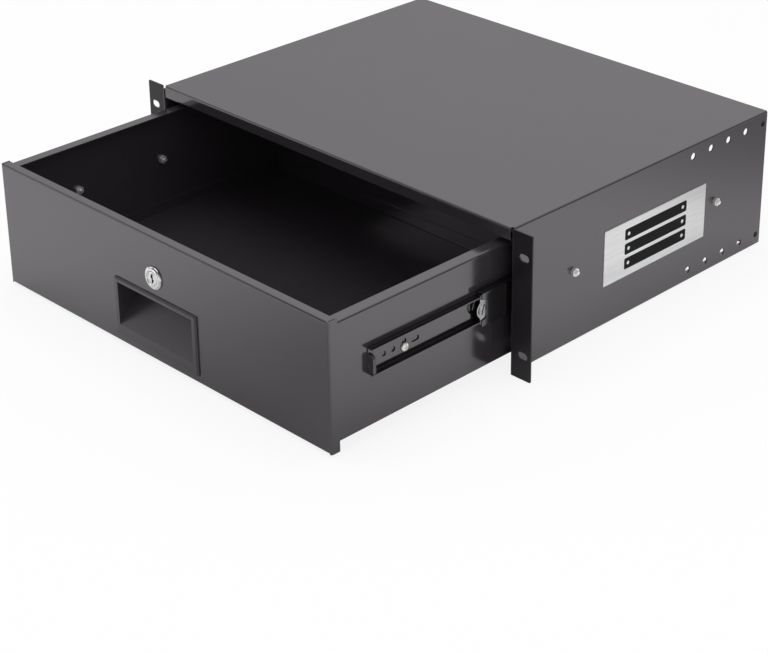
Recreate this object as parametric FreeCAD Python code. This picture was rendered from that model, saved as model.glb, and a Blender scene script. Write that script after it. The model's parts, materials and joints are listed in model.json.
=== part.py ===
"""Sliding 3U rack drawer: folded steel case, full-extension ball slides and a locking drawer.

Frame: X across the rack, Y from the rack ears back into the rack, Z up.  The origin is the
middle of the four ear slots, on the ears' front face.  The drawer is modelled pulled part of the
way out.  Everything is in millimetres.  One STEP file is written per piece, or per set of
identical fasteners.
"""
import FreeCAD, Part

import math
import os

Vec = FreeCAD.Vector

# ---- rack interface ---------------------------------------------------------------------------
UNIT_HEIGHT = 44.45          # height of one rack unit
RACK_UNITS = 3
PANEL_CLEARANCE = 0.85       # what a rack panel leaves free of its whole units
RACK_WIDTH = 482.6           # across both ears
SLOT_INSET = 8.74            # slot centres from the panel's ends
SLOT_LENGTH = 10.3
SLOT_WIDTH = 6.8
EAR_CORNER = 1.2
OVERSHOOT = 1.0              # how far a cutter passes the face it starts or ends on

# ---- folded sheet case ------------------------------------------------------------------------
EAR_WIDTH = 21.3             # ear outside the case's side
CASE_DEPTH = 340.0
CASE_SHEET = 1.2
BEND_RADIUS = 0.8            # inside radius of every fold
LIP_HEIGHT = 12.0            # front lip folded down from the top
LIP_RETURN = 13.0            # turned back in behind the lip
FOOT_FLANGE = 12.0           # inward flange along each side's lower edge
FOOT_START = 25.0            # the flanges start this far behind the ears
CORNER_RELIEF = 3.0          # notch where the ear fold, the lip and the side fold meet
BRACKET_HOLE_RADIUS = 3.25
BRACKET_HOLE_COUNT = 4
BRACKET_HOLE_PITCH = 25.2
BRACKET_HOLE_START = 233.0
BRACKET_HOLE_EDGE = 11.0     # each row's distance from the top and from the foot

# ---- rear braces ------------------------------------------------------------------------------
BRACE_SHEET = 1.5
BRACE_WIDTH = 12.0
BRACE_TAB = 20.0
BRACE_SCREW_RADIUS = 1.5
BRACE_HEAD_RADIUS = 2.8
BRACE_SCREW_LENGTH = 6.0
BRACE_SCREW_RISE = 11.0      # screw's distance from the top and from the foot

# ---- size plate -------------------------------------------------------------------------------
PLATE_FRONT_GAP = 39.0       # from the front slide bolt's axis to the plate
PLATE_REAR_GAP = 15.0        # from the plate to the rear slide bolt's axis
PLATE_HEIGHT = 52.0
PLATE_THICKNESS = 0.5
PLATE_RISE = 37.5

# ---- three-section ball slides ----------------------------------------------------------------
SLIDE_GAP = 10.0             # room between the case wall and the drawer wall
SLIDE_HEIGHT = 39.0
SLIDE_SHEET = 1.0
SLIDE_RISE = 69.6            # slide centre line above the foot
SCREW_DROP = 2.6             # slide bolts and screws below that line
SLIDE_BEND = 0.5
BALL_RADIUS = 1.7
RACE_RADIUS = 1.75
RACE_GAP = 2.9               # clear height between two facing raceway flanges
OUTER_LENGTH = 250.0
MIDDLE_LENGTH = 240.0
INNER_LENGTH = 248.0
OUTER_START = 37.4
OUTER_TIP = 8.2              # how far each member's flanges reach from the case wall
MIDDLE_WEB = 2.3
MIDDLE_TIP = 9.2
INNER_TIP = 4.0
OUTER_BALL = 4.6             # ball rows, from the case wall
INNER_BALL = 7.0
CAGE_LENGTH = 100.0
CAGE_SHEET = 0.4
CAGE_WEB = 3.45
CAGE_NOSE = 1.2              # how far the inner cage shows in front of the middle member
TONGUE_REACH = 3.6           # rounded tongue in front of the inner cage's web
TONGUE_HALF = 7.0
TONGUE_RIM = 1.3
TONGUE_LAND = 0.8            # strip left between the tongue's window and the cage's web
CAGE_SLOT_OFFSET = 3.4       # slanted slot in the cage's web, behind its front edge
CAGE_SLOT_LENGTH = 9.0
CAGE_SLOT_WIDTH = 1.2
CAGE_SLOT_TILT = 18.0
PRONG_HEIGHT = 6.1           # middle member's web above and below its front notch
NOTCH_DEPTH = 5.5
NOTCH_TAPER = 1.7
NOTCH_CORNER = 2.2
OUTER_CAGE_OFFSET = 38.0     # ball strips behind the outer member's front end, in this pose
STRIP_SHEET = 0.8
STRIP_WIDTH = 4.4
BALLS_PER_ROW = 5
MIDDLE_CLOSED = 1.0          # middle member behind the outer one's front end when closed
INNER_CLOSED = 1.0           # inner member behind the middle one's front end when closed
MIDDLE_TRAVEL = 69.4         # middle member's travel from closed to this pose
DRAWER_TRAVEL = 120.6        # drawer's travel on the middle members, at its stop in this pose
CASE_BOLT_OFFSETS = (38.6, OUTER_LENGTH - 19.4)
DRAWER_BOLT_OFFSETS = (38.5, 134.5)
ACCESS_HOLES = (16.5, 26.5)
ACCESS_RADIUS = 2.3
INNER_SLOT_OFFSET = 50.5
INNER_SLOT_LENGTH = 9.0
END_CAP_LENGTH = 3.0
END_CAP_REACH = 5.2
END_CAP_DROP = 4.5
END_CAP_LOW_CORNER = 1.0
END_CAP_TOP_CORNER = 4.5

# ---- drawer -----------------------------------------------------------------------------------
DRAWER_SHEET = 1.2
DRAWER_LENGTH = 317.0
FRONT_FOOT = 2.5             # front panel's lower edge above the foot
FRONT_HEIGHT = 115.0
FRONT_RETURN = 9.0           # full-height part of the side behind the front
FRONT_FLANGE = 8.5
SIDE_FOOT = 12.0
SIDE_TOP = 115.0
SIDE_FLANGE = 11.0
FLOOR_FLANGE = 12.0
BACK_FLANGE = 12.0
FLANGE_GAP = 1.0

# ---- recessed handle --------------------------------------------------------------------------
HANDLE_WIDTH = 106.0
HANDLE_HEIGHT = 55.0
HANDLE_RISE = 9.5
HANDLE_PROUD = 2.2
HANDLE_BEVEL = 1.4
HANDLE_CORNER = 1.5
HANDLE_SIDE = 5.0            # frame width beside the pocket
HANDLE_TOP = 4.0
HANDLE_BOTTOM = 11.0
HANDLE_DEPTH = 22.0          # pocket's depth behind the front panel's face
HANDLE_SLOPE = 48.0          # degrees, slanted lower wall from the horizontal
HANDLE_WALL = 1.8
HANDLE_FIT = 0.2
HANDLE_POCKET_CORNER = 3.0

# ---- cam lock ---------------------------------------------------------------------------------
LOCK_RISE = 80.5
BEZEL_RADIUS = 10.4
BEZEL_PROUD = 2.4
BEZEL_BEVEL = 0.9
BARREL_RADIUS = 8.9
BARREL_LENGTH = 15.5
BARREL_FIT = 0.1
PLUG_RADIUS = 6.0
PLUG_FIT = 0.05
PLUG_INSET = 0.5
KEYWAY_WIDTH = 1.6
KEYWAY_HEIGHT = 7.5
KEYWAY_DEPTH = 6.0
WASHER_THICKNESS = 0.8
WASHER_RADIUS = 11.5
LOCK_NUT_FLATS = 22.0
LOCK_NUT_THICKNESS = 3.0
CAM_THICKNESS = 2.0
CAM_WIDTH = 14.0
CAM_LENGTH = 45.0
CAM_SQUARE = 6.0
CAM_GAP = 0.5                # barrel end to cam
CAM_ROUND = 6.9              # corner radius of the end on the plug
CAM_TIP_CORNER = 2.0
CAM_SCREW_RADIUS = 4.0
CAM_SCREW_HEAD = 2.2
CAM_SCREW_SHANK = 1.5
CAM_SCREW_DEPTH = 6.0

# ---- fasteners --------------------------------------------------------------------------------
BOLT_RADIUS = 2.0
BOLT_FIT = 0.25
PAN_RADIUS = 3.9
PAN_HEIGHT = 2.0
WAFER_RADIUS = 4.2
WAFER_HEIGHT = 1.0
NUT_FLATS = 7.0
NUT_THICKNESS = 3.2
BOLT_END = 2.2               # thread that shows beyond the nut

# ---- keys on their ring -----------------------------------------------------------------------
KEY_BOW_LENGTH = 24.0
KEY_BOW_WIDTH = 20.0
KEY_BOW_THICKNESS = 2.6
KEY_BLADE_LENGTH = 27.0
KEY_BLADE_WIDTH = 6.5
KEY_BLADE_THICKNESS = 1.8
KEY_HOLE_RADIUS = 3.2
KEY_HOLE_INSET = 5.4
KEY_BOW_CORNER = 5.0
KEY_RING_CORNER = 6.0        # grip's corners beside the ring hole
KEY_TIP_CORNER = 1.0
KEY_TILT = 7.0
RING_RADIUS = 9.0
RING_WIRE = 0.7
RING_TILT = 45.0
RING_SIDE_GAP = 112.6        # ring centre from the drawer's right wall
RING_FRONT_GAP = 40.0        # ring centre behind the front panel's face

# ---- worked out from the above ----------------------------------------------------------------
RACK_HEIGHT = RACK_UNITS * UNIT_HEIGHT - PANEL_CLEARANCE
SLOT_SPACING_X = RACK_WIDTH - 2 * SLOT_INSET
SLOT_SPACING_Z = (RACK_UNITS - 1) * UNIT_HEIGHT
CASE_WIDTH = RACK_WIDTH - 2 * EAR_WIDTH
FOOT = -RACK_HEIGHT / 2
TOP = RACK_HEIGHT / 2
CASE_HALF = CASE_WIDTH / 2
CASE_INNER = CASE_HALF - CASE_SHEET
DRAWER_HALF = CASE_INNER - SLIDE_GAP
DRAWER_INNER = DRAWER_HALF - DRAWER_SHEET
DRAWER_OUT = MIDDLE_TRAVEL + DRAWER_TRAVEL
FRONT_Y = -DRAWER_OUT
BACK_Y = FRONT_Y + DRAWER_LENGTH
FRONT_LOW = FOOT + FRONT_FOOT
FRONT_HIGH = FRONT_LOW + FRONT_HEIGHT
SIDE_LOW = FOOT + SIDE_FOOT
SIDE_HIGH = FOOT + SIDE_TOP
SLIDE_Z = FOOT + SLIDE_RISE
FASTENER_Z = SLIDE_Z - SCREW_DROP
LOCK_Z = FOOT + LOCK_RISE
OUTER_HALF = SLIDE_HEIGHT / 2
MIDDLE_HALF = OUTER_HALF - SLIDE_SHEET - RACE_GAP
INNER_HALF = MIDDLE_HALF - SLIDE_SHEET - RACE_GAP
OUTER_ROW = MIDDLE_HALF + RACE_GAP / 2
INNER_ROW = INNER_HALF + RACE_GAP / 2
MIDDLE_START = OUTER_START + MIDDLE_CLOSED - MIDDLE_TRAVEL
INNER_START = OUTER_START + MIDDLE_CLOSED + INNER_CLOSED - DRAWER_OUT
INNER_CAGE_START = MIDDLE_START - CAGE_NOSE
OUTER_CAGE_START = OUTER_START + OUTER_CAGE_OFFSET
PLATE_START = OUTER_START + CASE_BOLT_OFFSETS[0] + PLATE_FRONT_GAP
PLATE_END = OUTER_START + CASE_BOLT_OFFSETS[1] - PLATE_REAR_GAP
CAM_START = BARREL_LENGTH + CAM_GAP
CAM_END = CAM_START + CAM_THICKNESS


# ---- drawing helpers --------------------------------------------------------------------------
def on_xz(y):
    """Places drawn points on the upright plane across the rack at this depth."""
    return lambda point: Vec(point.x, y, point.y)


def on_yz(x):
    """Places drawn points on the upright plane along the rack at this side position."""
    return lambda point: Vec(x, point.x, point.y)


def on_xy(z):
    """Places drawn points on the level plane at this height."""
    return lambda point: Vec(point.x, point.y, z)


def outline_face(corners, place):
    """Flat face inside closed (u, v, radius) corners; every radius is a true arc."""
    count = len(corners)
    starts, middles, ends = [], [], []
    for index, (u, v, radius) in enumerate(corners):
        corner = Vec(u, v, 0)
        if radius <= 0:
            starts.append(corner)
            middles.append(None)
            ends.append(corner)
            continue
        before = Vec(*corners[index - 1][:2], 0)
        after = Vec(*corners[(index + 1) % count][:2], 0)
        back = (before - corner).normalize()
        ahead = (after - corner).normalize()
        half_angle = back.getAngle(ahead) / 2
        centre = corner + (back + ahead).normalize() * (radius / math.sin(half_angle))
        reach = radius / math.tan(half_angle)
        starts.append(corner + back * reach)
        middles.append(centre + (corner - centre).normalize() * radius)
        ends.append(corner + ahead * reach)
    edges = []
    for index in range(count):
        if middles[index] is not None:
            points = (starts[index], middles[index], ends[index])
            edges.append(Part.Arc(*[place(point) for point in points]).toShape())
        following = (index + 1) % count
        if ends[index].distanceToPoint(starts[following]) > 1e-6:
            edges.append(Part.makeLine(place(ends[index]), place(starts[following])))
    return Part.Face(Part.Wire(edges))


def sheet_corners(path, thickness, bend=BEND_RADIUS):
    """Closed corners of a folded sheet that lies to the left of an open path."""
    near, far = [], []
    for index, (u, v) in enumerate(path):
        here = Vec(u, v, 0)
        normals = []
        if index > 0:
            step = (here - Vec(*path[index - 1], 0)).normalize()
            normals.append(Vec(-step.y, step.x, 0))
        if index < len(path) - 1:
            step = (Vec(*path[index + 1], 0) - here).normalize()
            normals.append(Vec(-step.y, step.x, 0))
        first, last = normals[0], normals[-1]
        shift = (first + last) * (thickness / (1 + first.dot(last)))
        turn = first.x * last.y - first.y * last.x
        near_radius = 0
        far_radius = 0
        if len(normals) == 2:
            near_radius = bend + thickness if turn > 0 else bend
            far_radius = bend if turn > 0 else bend + thickness
        near.append((u, v, near_radius))
        far.append((u + shift.x, v + shift.y, far_radius))
    return near + far[::-1]


def folded_sheet(path, thickness, place, run, bend=BEND_RADIUS):
    """Folded sheet: a bent section drawn by its outside path, drawn out along run."""
    return outline_face(sheet_corners(path, thickness, bend), place).extrude(run)


def box(x_range, y_range, z_range):
    """Block between low and high limits on each axis."""
    size = [high - low for low, high in (x_range, y_range, z_range)]
    return Part.makeBox(*size, Vec(x_range[0], y_range[0], z_range[0]))


def rod(radius, start, end):
    """Round bar between two points."""
    axis = end - start
    return Part.makeCylinder(radius, axis.Length, start, axis)


def hex_prism(flats, start, end):
    """Hexagonal bar of a width across flats, between two points along X or Y."""
    axis = end - start
    side = Vec(0, 0, 1)
    up = axis.cross(side).normalize()
    corner_radius = flats / math.sqrt(3)
    corners = []
    for index in range(7):
        angle = math.radians(60 * index)
        corners.append(start + (side * math.cos(angle) + up * math.sin(angle)) * corner_radius)
    return Part.Face(Part.makePolygon(corners)).extrude(axis)


def joined(shapes):
    """One clean solid from shapes that meet."""
    return shapes[0].multiFuse(shapes[1:]).removeSplitter()


def mirrored(shape):
    """The same piece on the other side of the rack."""
    return shape.mirror(Vec(0, 0, 0), Vec(1, 0, 0))


def both_sides(shapes):
    """Pieces of the right side with their twins on the left."""
    return shapes + [mirrored(shape) for shape in shapes]


def slot_cut(x, z, length, width, y_range):
    """Cutter for a round-ended slot along X through a panel that faces Y."""
    half = (length - width) / 2
    low = Vec(x - half, y_range[0], z)
    high = Vec(x + half, y_range[0], z)
    depth = Vec(0, y_range[1] - y_range[0], 0)
    middle = box((x - half, x + half), y_range, (z - width / 2, z + width / 2))
    return joined([middle, rod(width / 2, low, low + depth), rod(width / 2, high, high + depth)])


# ---- case -------------------------------------------------------------------------------------
def case_wrap(with_feet, start, end):
    """Top and both sides in one folded sheet, with or without the inward foot flanges."""
    path = [(CASE_HALF, FOOT), (CASE_HALF, TOP), (-CASE_HALF, TOP), (-CASE_HALF, FOOT)]
    if with_feet:
        flange = CASE_HALF - FOOT_FLANGE
        path = [(flange, FOOT)] + path + [(-flange, FOOT)]
    return folded_sheet(path, CASE_SHEET, on_xz(start), Vec(0, end - start, 0))


def rack_ear():
    """Right rack ear, folded outward from the side's front edge, with rounded outer corners."""
    path = [(CASE_INNER, CORNER_RELIEF), (CASE_INNER, 0), (RACK_WIDTH / 2, 0)]
    ear = folded_sheet(path, CASE_SHEET, on_xy(FOOT), Vec(0, 0, RACK_HEIGHT))
    outer = [edge for edge in ear.Edges
             if abs(edge.BoundBox.XMin - RACK_WIDTH / 2) < 1e-6
             and edge.BoundBox.XLength < 1e-6 and edge.BoundBox.ZLength < 1e-6]
    return ear.makeFillet(EAR_CORNER, outer)


def front_lip():
    """Lip folded down from the top's front edge, with its return that the lock's cam catches."""
    half = CASE_HALF - CORNER_RELIEF
    low = TOP - LIP_HEIGHT
    path = [(CORNER_RELIEF, TOP), (0, TOP), (0, low), (LIP_RETURN, low)]
    return folded_sheet(path, CASE_SHEET, on_yz(-half), Vec(2 * half, 0, 0))


def bracket_hole_places():
    """Depth and height of the holes for a rear support bracket, in two rows on each side."""
    for index in range(BRACKET_HOLE_COUNT):
        for height in (FOOT + BRACKET_HOLE_EDGE, TOP - BRACKET_HOLE_EDGE):
            yield BRACKET_HOLE_START + index * BRACKET_HOLE_PITCH, height


def brace_screw_places():
    """Depth and height of the screws that hold the rear braces."""
    depth = CASE_DEPTH - BRACE_WIDTH / 2
    return [(depth, FOOT + BRACE_SCREW_RISE), (depth, TOP - BRACE_SCREW_RISE)]


def countersink(depth, height):
    """Cone of the countersunk screw head in the right side, wide end outside."""
    tip = Vec(CASE_INNER, depth, height)
    return Part.makeCone(BRACE_SCREW_RADIUS, BRACE_HEAD_RADIUS, CASE_SHEET, tip, Vec(1, 0, 0))


def case_shell():
    """Case: top, sides, ears, lip and feet folded from one sheet, with all its holes."""
    notch = box((CASE_INNER - CORNER_RELIEF, CASE_HALF + BEND_RADIUS),
                (-OVERSHOOT, CORNER_RELIEF), (TOP - CORNER_RELIEF, TOP + OVERSHOOT))
    ear = rack_ear().cut(notch)
    shell = joined([case_wrap(False, CORNER_RELIEF, FOOT_START),
                    case_wrap(True, FOOT_START, CASE_DEPTH),
                    ear, mirrored(ear), front_lip()])
    cuts = []
    for x in (SLOT_SPACING_X / 2, -SLOT_SPACING_X / 2):
        for z in (SLOT_SPACING_Z / 2, -SLOT_SPACING_Z / 2):
            cuts.append(slot_cut(x, z, SLOT_LENGTH, SLOT_WIDTH,
                                 (-OVERSHOOT, CASE_SHEET + OVERSHOOT)))
    inside = Vec(CASE_INNER - OVERSHOOT, 0, 0)
    outside = Vec(CASE_HALF + OVERSHOOT, 0, 0)
    for depth, height in bracket_hole_places():
        place = Vec(0, depth, height)
        cuts += both_sides([rod(BRACKET_HOLE_RADIUS, inside + place, outside + place)])
    for offset in CASE_BOLT_OFFSETS:
        place = Vec(0, OUTER_START + offset, FASTENER_Z)
        cuts += both_sides([rod(BOLT_RADIUS + BOLT_FIT, inside + place, outside + place)])
    for depth, height in brace_screw_places():
        cuts += both_sides([countersink(depth, height)])
    return shell.cut(cuts)


def rear_brace(at_top):
    """Flat bar across the rear with an end tab folded along each side."""
    level = TOP - CASE_SHEET if at_top else FOOT + CASE_SHEET
    tab = level - BRACE_TAB if at_top else level + BRACE_TAB
    path = [(CASE_INNER, tab), (CASE_INNER, level), (-CASE_INNER, level), (-CASE_INNER, tab)]
    if not at_top:
        path.reverse()
    start = CASE_DEPTH - BRACE_WIDTH
    bar = folded_sheet(path, BRACE_SHEET, on_xz(start), Vec(0, BRACE_WIDTH, 0))
    depth, height = brace_screw_places()[1 if at_top else 0]
    place = Vec(0, depth, height)
    hole = rod(BRACE_SCREW_RADIUS, Vec(CASE_INNER - 2 * BRACE_SHEET, 0, 0) + place,
               Vec(CASE_HALF, 0, 0) + place)
    return bar.cut(both_sides([hole]))


def brace_screws():
    """Countersunk screws through the sides into the brace tabs."""
    screws = []
    for depth, height in brace_screw_places():
        head = Vec(CASE_INNER, depth, height)
        tip = head - Vec(BRACE_SCREW_LENGTH - CASE_SHEET, 0, 0)
        screws.append(joined([rod(BRACE_SCREW_RADIUS, tip, head), countersink(depth, height)]))
    return both_sides(screws)


def size_plate():
    """Thin metal plate stuck to the right side."""
    low = FOOT + PLATE_RISE
    return box((CASE_HALF, CASE_HALF + PLATE_THICKNESS),
               (PLATE_START, PLATE_END), (low, low + PLATE_HEIGHT))


# ---- ball slides, right side ------------------------------------------------------------------
def from_wall(reach):
    """Side position of a point this far from the case wall towards the drawer."""
    return CASE_INNER - reach


def channel(web, tip, half, sheet, start, length):
    """Channel with its web at one distance from the case wall and its flange tips at another."""
    edge = from_wall(tip)
    root = from_wall(web)
    path = [(edge, SLIDE_Z - half), (root, SLIDE_Z - half),
            (root, SLIDE_Z + half), (edge, SLIDE_Z + half)]
    if root < edge:
        path.reverse()
    return folded_sheet(path, sheet, on_xz(start), Vec(0, length, 0), SLIDE_BEND)


def raceway(member, ball, row, side, flange_is_outside, start, length):
    """Presses one ball groove into a flange, with the matching bulge on its far face."""
    centre = Vec(from_wall(ball), start, SLIDE_Z + side * row)
    end = centre + Vec(0, length, 0)
    away = side if flange_is_outside else -side
    far_face = centre.z + away * (RACE_GAP / 2 + SLIDE_SHEET)
    limit = far_face + away * RACE_RADIUS
    z_range = (min(far_face, limit), max(far_face, limit))
    reach = RACE_RADIUS + SLIDE_SHEET
    keep = box((centre.x - reach, centre.x + reach), (start, start + length), z_range)
    bulge = rod(reach, centre, end).common(keep)
    return member.fuse(bulge).cut(rod(RACE_RADIUS, centre, end))


def slide_outer():
    """Outer member: channel fixed to the case wall, one raceway in each flange."""
    member = channel(0, OUTER_TIP, OUTER_HALF, SLIDE_SHEET, OUTER_START, OUTER_LENGTH)
    for side in (1, -1):
        member = raceway(member, OUTER_BALL, OUTER_ROW, side, True, OUTER_START, OUTER_LENGTH)
    for offset in CASE_BOLT_OFFSETS:
        place = Vec(0, OUTER_START + offset, FASTENER_Z)
        hole = rod(BOLT_RADIUS + BOLT_FIT, Vec(from_wall(SLIDE_SHEET + OVERSHOOT), 0, 0) + place,
                   Vec(CASE_INNER + OVERSHOOT, 0, 0) + place)
        member = member.cut(hole)
    return member


def slide_middle():
    """Middle member: raceways outside for the case side and inside for the drawer side."""
    member = channel(MIDDLE_WEB, MIDDLE_TIP, MIDDLE_HALF, SLIDE_SHEET, MIDDLE_START, MIDDLE_LENGTH)
    for side in (1, -1):
        member = raceway(member, OUTER_BALL, OUTER_ROW, side, False, MIDDLE_START, MIDDLE_LENGTH)
        member = raceway(member, INNER_BALL, INNER_ROW, side, True, MIDDLE_START, MIDDLE_LENGTH)
    mouth = MIDDLE_HALF - PRONG_HEIGHT
    throat = mouth - NOTCH_TAPER
    front = MIDDLE_START - OVERSHOOT
    deep = MIDDLE_START + NOTCH_DEPTH
    corners = [(front, SLIDE_Z - mouth, 0), (MIDDLE_START, SLIDE_Z - mouth, 0),
               (deep, SLIDE_Z - throat, NOTCH_CORNER), (deep, SLIDE_Z + throat, NOTCH_CORNER),
               (MIDDLE_START, SLIDE_Z + mouth, 0), (front, SLIDE_Z + mouth, 0)]
    notch = outline_face(corners, on_yz(from_wall(MIDDLE_WEB + SLIDE_SHEET + OVERSHOOT)))
    return member.cut(notch.extrude(Vec(SLIDE_SHEET + 2 * OVERSHOOT, 0, 0)))


def web_slot(depth, half_length, half_height, radius):
    """Cutter for a round-ended slot in the inner member's web, lengthwise or upright."""
    inside = DRAWER_HALF - OVERSHOOT
    outside = DRAWER_HALF + SLIDE_SHEET + OVERSHOOT
    ends = []
    for side in (1, -1):
        spot = Vec(0, depth + side * half_length, SLIDE_Z + side * half_height)
        ends.append(rod(radius, Vec(inside, 0, 0) + spot, Vec(outside, 0, 0) + spot))
    if half_height:
        middle = box((inside, outside), (depth - radius, depth + radius),
                     (SLIDE_Z - half_height, SLIDE_Z + half_height))
    else:
        middle = box((inside, outside), (depth - half_length, depth + half_length),
                     (SLIDE_Z - radius, SLIDE_Z + radius))
    return joined([*ends, middle])


def slide_inner():
    """Inner member: channel against the drawer wall with its row of fixing holes."""
    member = channel(SLIDE_GAP, INNER_TIP, INNER_HALF, SLIDE_SHEET, INNER_START, INNER_LENGTH)
    for side in (1, -1):
        member = raceway(member, INNER_BALL, INNER_ROW, side, False, INNER_START, INNER_LENGTH)
    inside = Vec(DRAWER_HALF - OVERSHOOT, 0, 0)
    outside = Vec(DRAWER_HALF + SLIDE_SHEET + OVERSHOOT, 0, 0)
    holes = []
    for offset in ACCESS_HOLES:
        place = Vec(0, INNER_START + offset, SLIDE_Z)
        holes.append(rod(ACCESS_RADIUS, inside + place, outside + place))
    for offset in DRAWER_BOLT_OFFSETS:
        holes.append(web_slot(INNER_START + offset, 0, SCREW_DROP, BOLT_RADIUS + BOLT_FIT))
    holes.append(web_slot(INNER_START + INNER_SLOT_OFFSET, INNER_SLOT_LENGTH / 2 - ACCESS_RADIUS,
                          0, ACCESS_RADIUS))
    return member.cut(holes)


def ball_places(ball, row, start):
    """Centres of the balls in one cage, in its upper and lower rows."""
    pitch = CAGE_LENGTH / BALLS_PER_ROW
    for index in range(BALLS_PER_ROW):
        for side in (1, -1):
            yield Vec(from_wall(ball), start + (index + 0.5) * pitch, SLIDE_Z + side * row)


def balls(ball, row, start):
    """The loose balls of one cage."""
    return [Part.makeSphere(BALL_RADIUS, place) for place in ball_places(ball, row, start)]


def ball_pockets(ball, row, start):
    """Cutters for the round holes that carry the balls."""
    reach = Vec(0, 0, STRIP_SHEET + CAGE_SHEET)
    return [rod(RACE_RADIUS, place - reach, place + reach)
            for place in ball_places(ball, row, start)]


def outer_cage():
    """Two ball strips between the outer and middle members."""
    strips = []
    middle = from_wall(OUTER_BALL)
    for side in (1, -1):
        height = SLIDE_Z + side * OUTER_ROW
        strip = box((middle - STRIP_WIDTH / 2, middle + STRIP_WIDTH / 2),
                    (OUTER_CAGE_START, OUTER_CAGE_START + CAGE_LENGTH),
                    (height - STRIP_SHEET / 2, height + STRIP_SHEET / 2))
        strips.append(strip.cut(ball_pockets(OUTER_BALL, OUTER_ROW, OUTER_CAGE_START)))
    return strips


def cage_tongue():
    """Rounded tongue with a window, in front of the inner cage's web."""
    radius = (TONGUE_HALF ** 2 + TONGUE_REACH ** 2) / (2 * TONGUE_REACH)
    inside = from_wall(CAGE_WEB + CAGE_SHEET)
    outside = from_wall(CAGE_WEB)
    centre = Vec(0, INNER_CAGE_START - TONGUE_REACH + radius, SLIDE_Z)
    disc = rod(radius, Vec(inside, 0, 0) + centre, Vec(outside, 0, 0) + centre)
    window = rod(radius - TONGUE_RIM, Vec(inside, 0, 0) + centre, Vec(outside, 0, 0) + centre)
    heights = (SLIDE_Z - radius, SLIDE_Z + radius)
    front = INNER_CAGE_START - TONGUE_REACH - OVERSHOOT
    ahead = box((inside, outside), (front, INNER_CAGE_START), heights)
    open_part = box((inside, outside), (front, INNER_CAGE_START - TONGUE_LAND), heights)
    return disc.common(ahead).cut(window.common(open_part))


def cage_slot():
    """Cutter for the slanted slot that shows in the middle member's notch."""
    inside = from_wall(CAGE_WEB + CAGE_SHEET + OVERSHOOT)
    reach = Vec(CAGE_SHEET + 2 * OVERSHOOT, 0, 0)
    half = CAGE_SLOT_LENGTH / 2
    corner = CAGE_SLOT_WIDTH / 2
    outline = outline_face([(-corner, -half, corner / 2), (corner, -half, corner / 2),
                            (corner, half, corner / 2), (-corner, half, corner / 2)],
                           on_yz(inside))
    slot = outline.extrude(reach)
    slot.rotate(Vec(0, 0, 0), Vec(1, 0, 0), -CAGE_SLOT_TILT)
    slot.translate(Vec(0, INNER_CAGE_START + CAGE_SLOT_OFFSET, SLIDE_Z))
    return slot


def inner_cage():
    """Channel-shaped ball cage between the middle and inner members, with its nose."""
    half = INNER_ROW + CAGE_SHEET / 2
    cage = channel(CAGE_WEB, MIDDLE_TIP, half, CAGE_SHEET, INNER_CAGE_START, CAGE_LENGTH)
    cage = joined([cage, cage_tongue()]).cut(cage_slot())
    return [cage.cut(ball_pockets(INNER_BALL, INNER_ROW, INNER_CAGE_START))]


def slide_end_cap():
    """Bumper that closes the inner member's front end, lower at the top than its flange."""
    root = DRAWER_HALF + SLIDE_SHEET
    tip = root + END_CAP_REACH
    bulge = RACE_RADIUS - RACE_GAP / 2
    low = SLIDE_Z - INNER_HALF + SLIDE_SHEET + bulge
    high = SLIDE_Z + INNER_HALF - SLIDE_SHEET - END_CAP_DROP
    corners = [(root, low, SLIDE_BEND), (tip, low, END_CAP_LOW_CORNER),
               (tip, high, END_CAP_TOP_CORNER), (root, high, 0)]
    face = outline_face(corners, on_xz(INNER_START))
    return face.extrude(Vec(0, END_CAP_LENGTH, 0))


# ---- slide fasteners, right side --------------------------------------------------------------
def headed_bolt(seat, head_radius, head_height, reach):
    """Bolt along X: its head sits at seat on the side away from reach."""
    away = -1 if reach > 0 else 1
    head = rod(head_radius, seat, seat + Vec(away * head_height, 0, 0))
    shank = rod(BOLT_RADIUS, seat, seat + Vec(reach, 0, 0))
    return joined([head, shank])


def bolt_nut(seat, direction):
    """Hexagon nut along X, bored for its bolt, with its near face at seat."""
    end = seat + Vec(direction * NUT_THICKNESS, 0, 0)
    return hex_prism(NUT_FLATS, seat, end).cut(rod(BOLT_RADIUS, seat, end))


def case_slide_bolts():
    """Low-headed bolts from inside each outer member out through the case wall."""
    reach = SLIDE_SHEET + CASE_SHEET + NUT_THICKNESS + BOLT_END
    bolts = [headed_bolt(Vec(from_wall(SLIDE_SHEET), OUTER_START + offset, FASTENER_Z),
                         WAFER_RADIUS, WAFER_HEIGHT, reach)
             for offset in CASE_BOLT_OFFSETS]
    return both_sides(bolts)


def case_slide_nuts():
    """Nuts on the outside of the case."""
    nuts = [bolt_nut(Vec(CASE_HALF, OUTER_START + offset, FASTENER_Z), 1)
            for offset in CASE_BOLT_OFFSETS]
    return both_sides(nuts)


def drawer_slide_screws():
    """Pan-head screws from inside each inner member through the drawer wall."""
    reach = -(SLIDE_SHEET + DRAWER_SHEET + NUT_THICKNESS + BOLT_END)
    screws = [headed_bolt(Vec(DRAWER_HALF + SLIDE_SHEET, INNER_START + offset, FASTENER_Z),
                          PAN_RADIUS, PAN_HEIGHT, reach)
              for offset in DRAWER_BOLT_OFFSETS]
    return both_sides(screws)


def drawer_slide_nuts():
    """Nuts inside the drawer walls."""
    nuts = [bolt_nut(Vec(DRAWER_INNER, INNER_START + offset, FASTENER_Z), -1)
            for offset in DRAWER_BOLT_OFFSETS]
    return both_sides(nuts)


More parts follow.
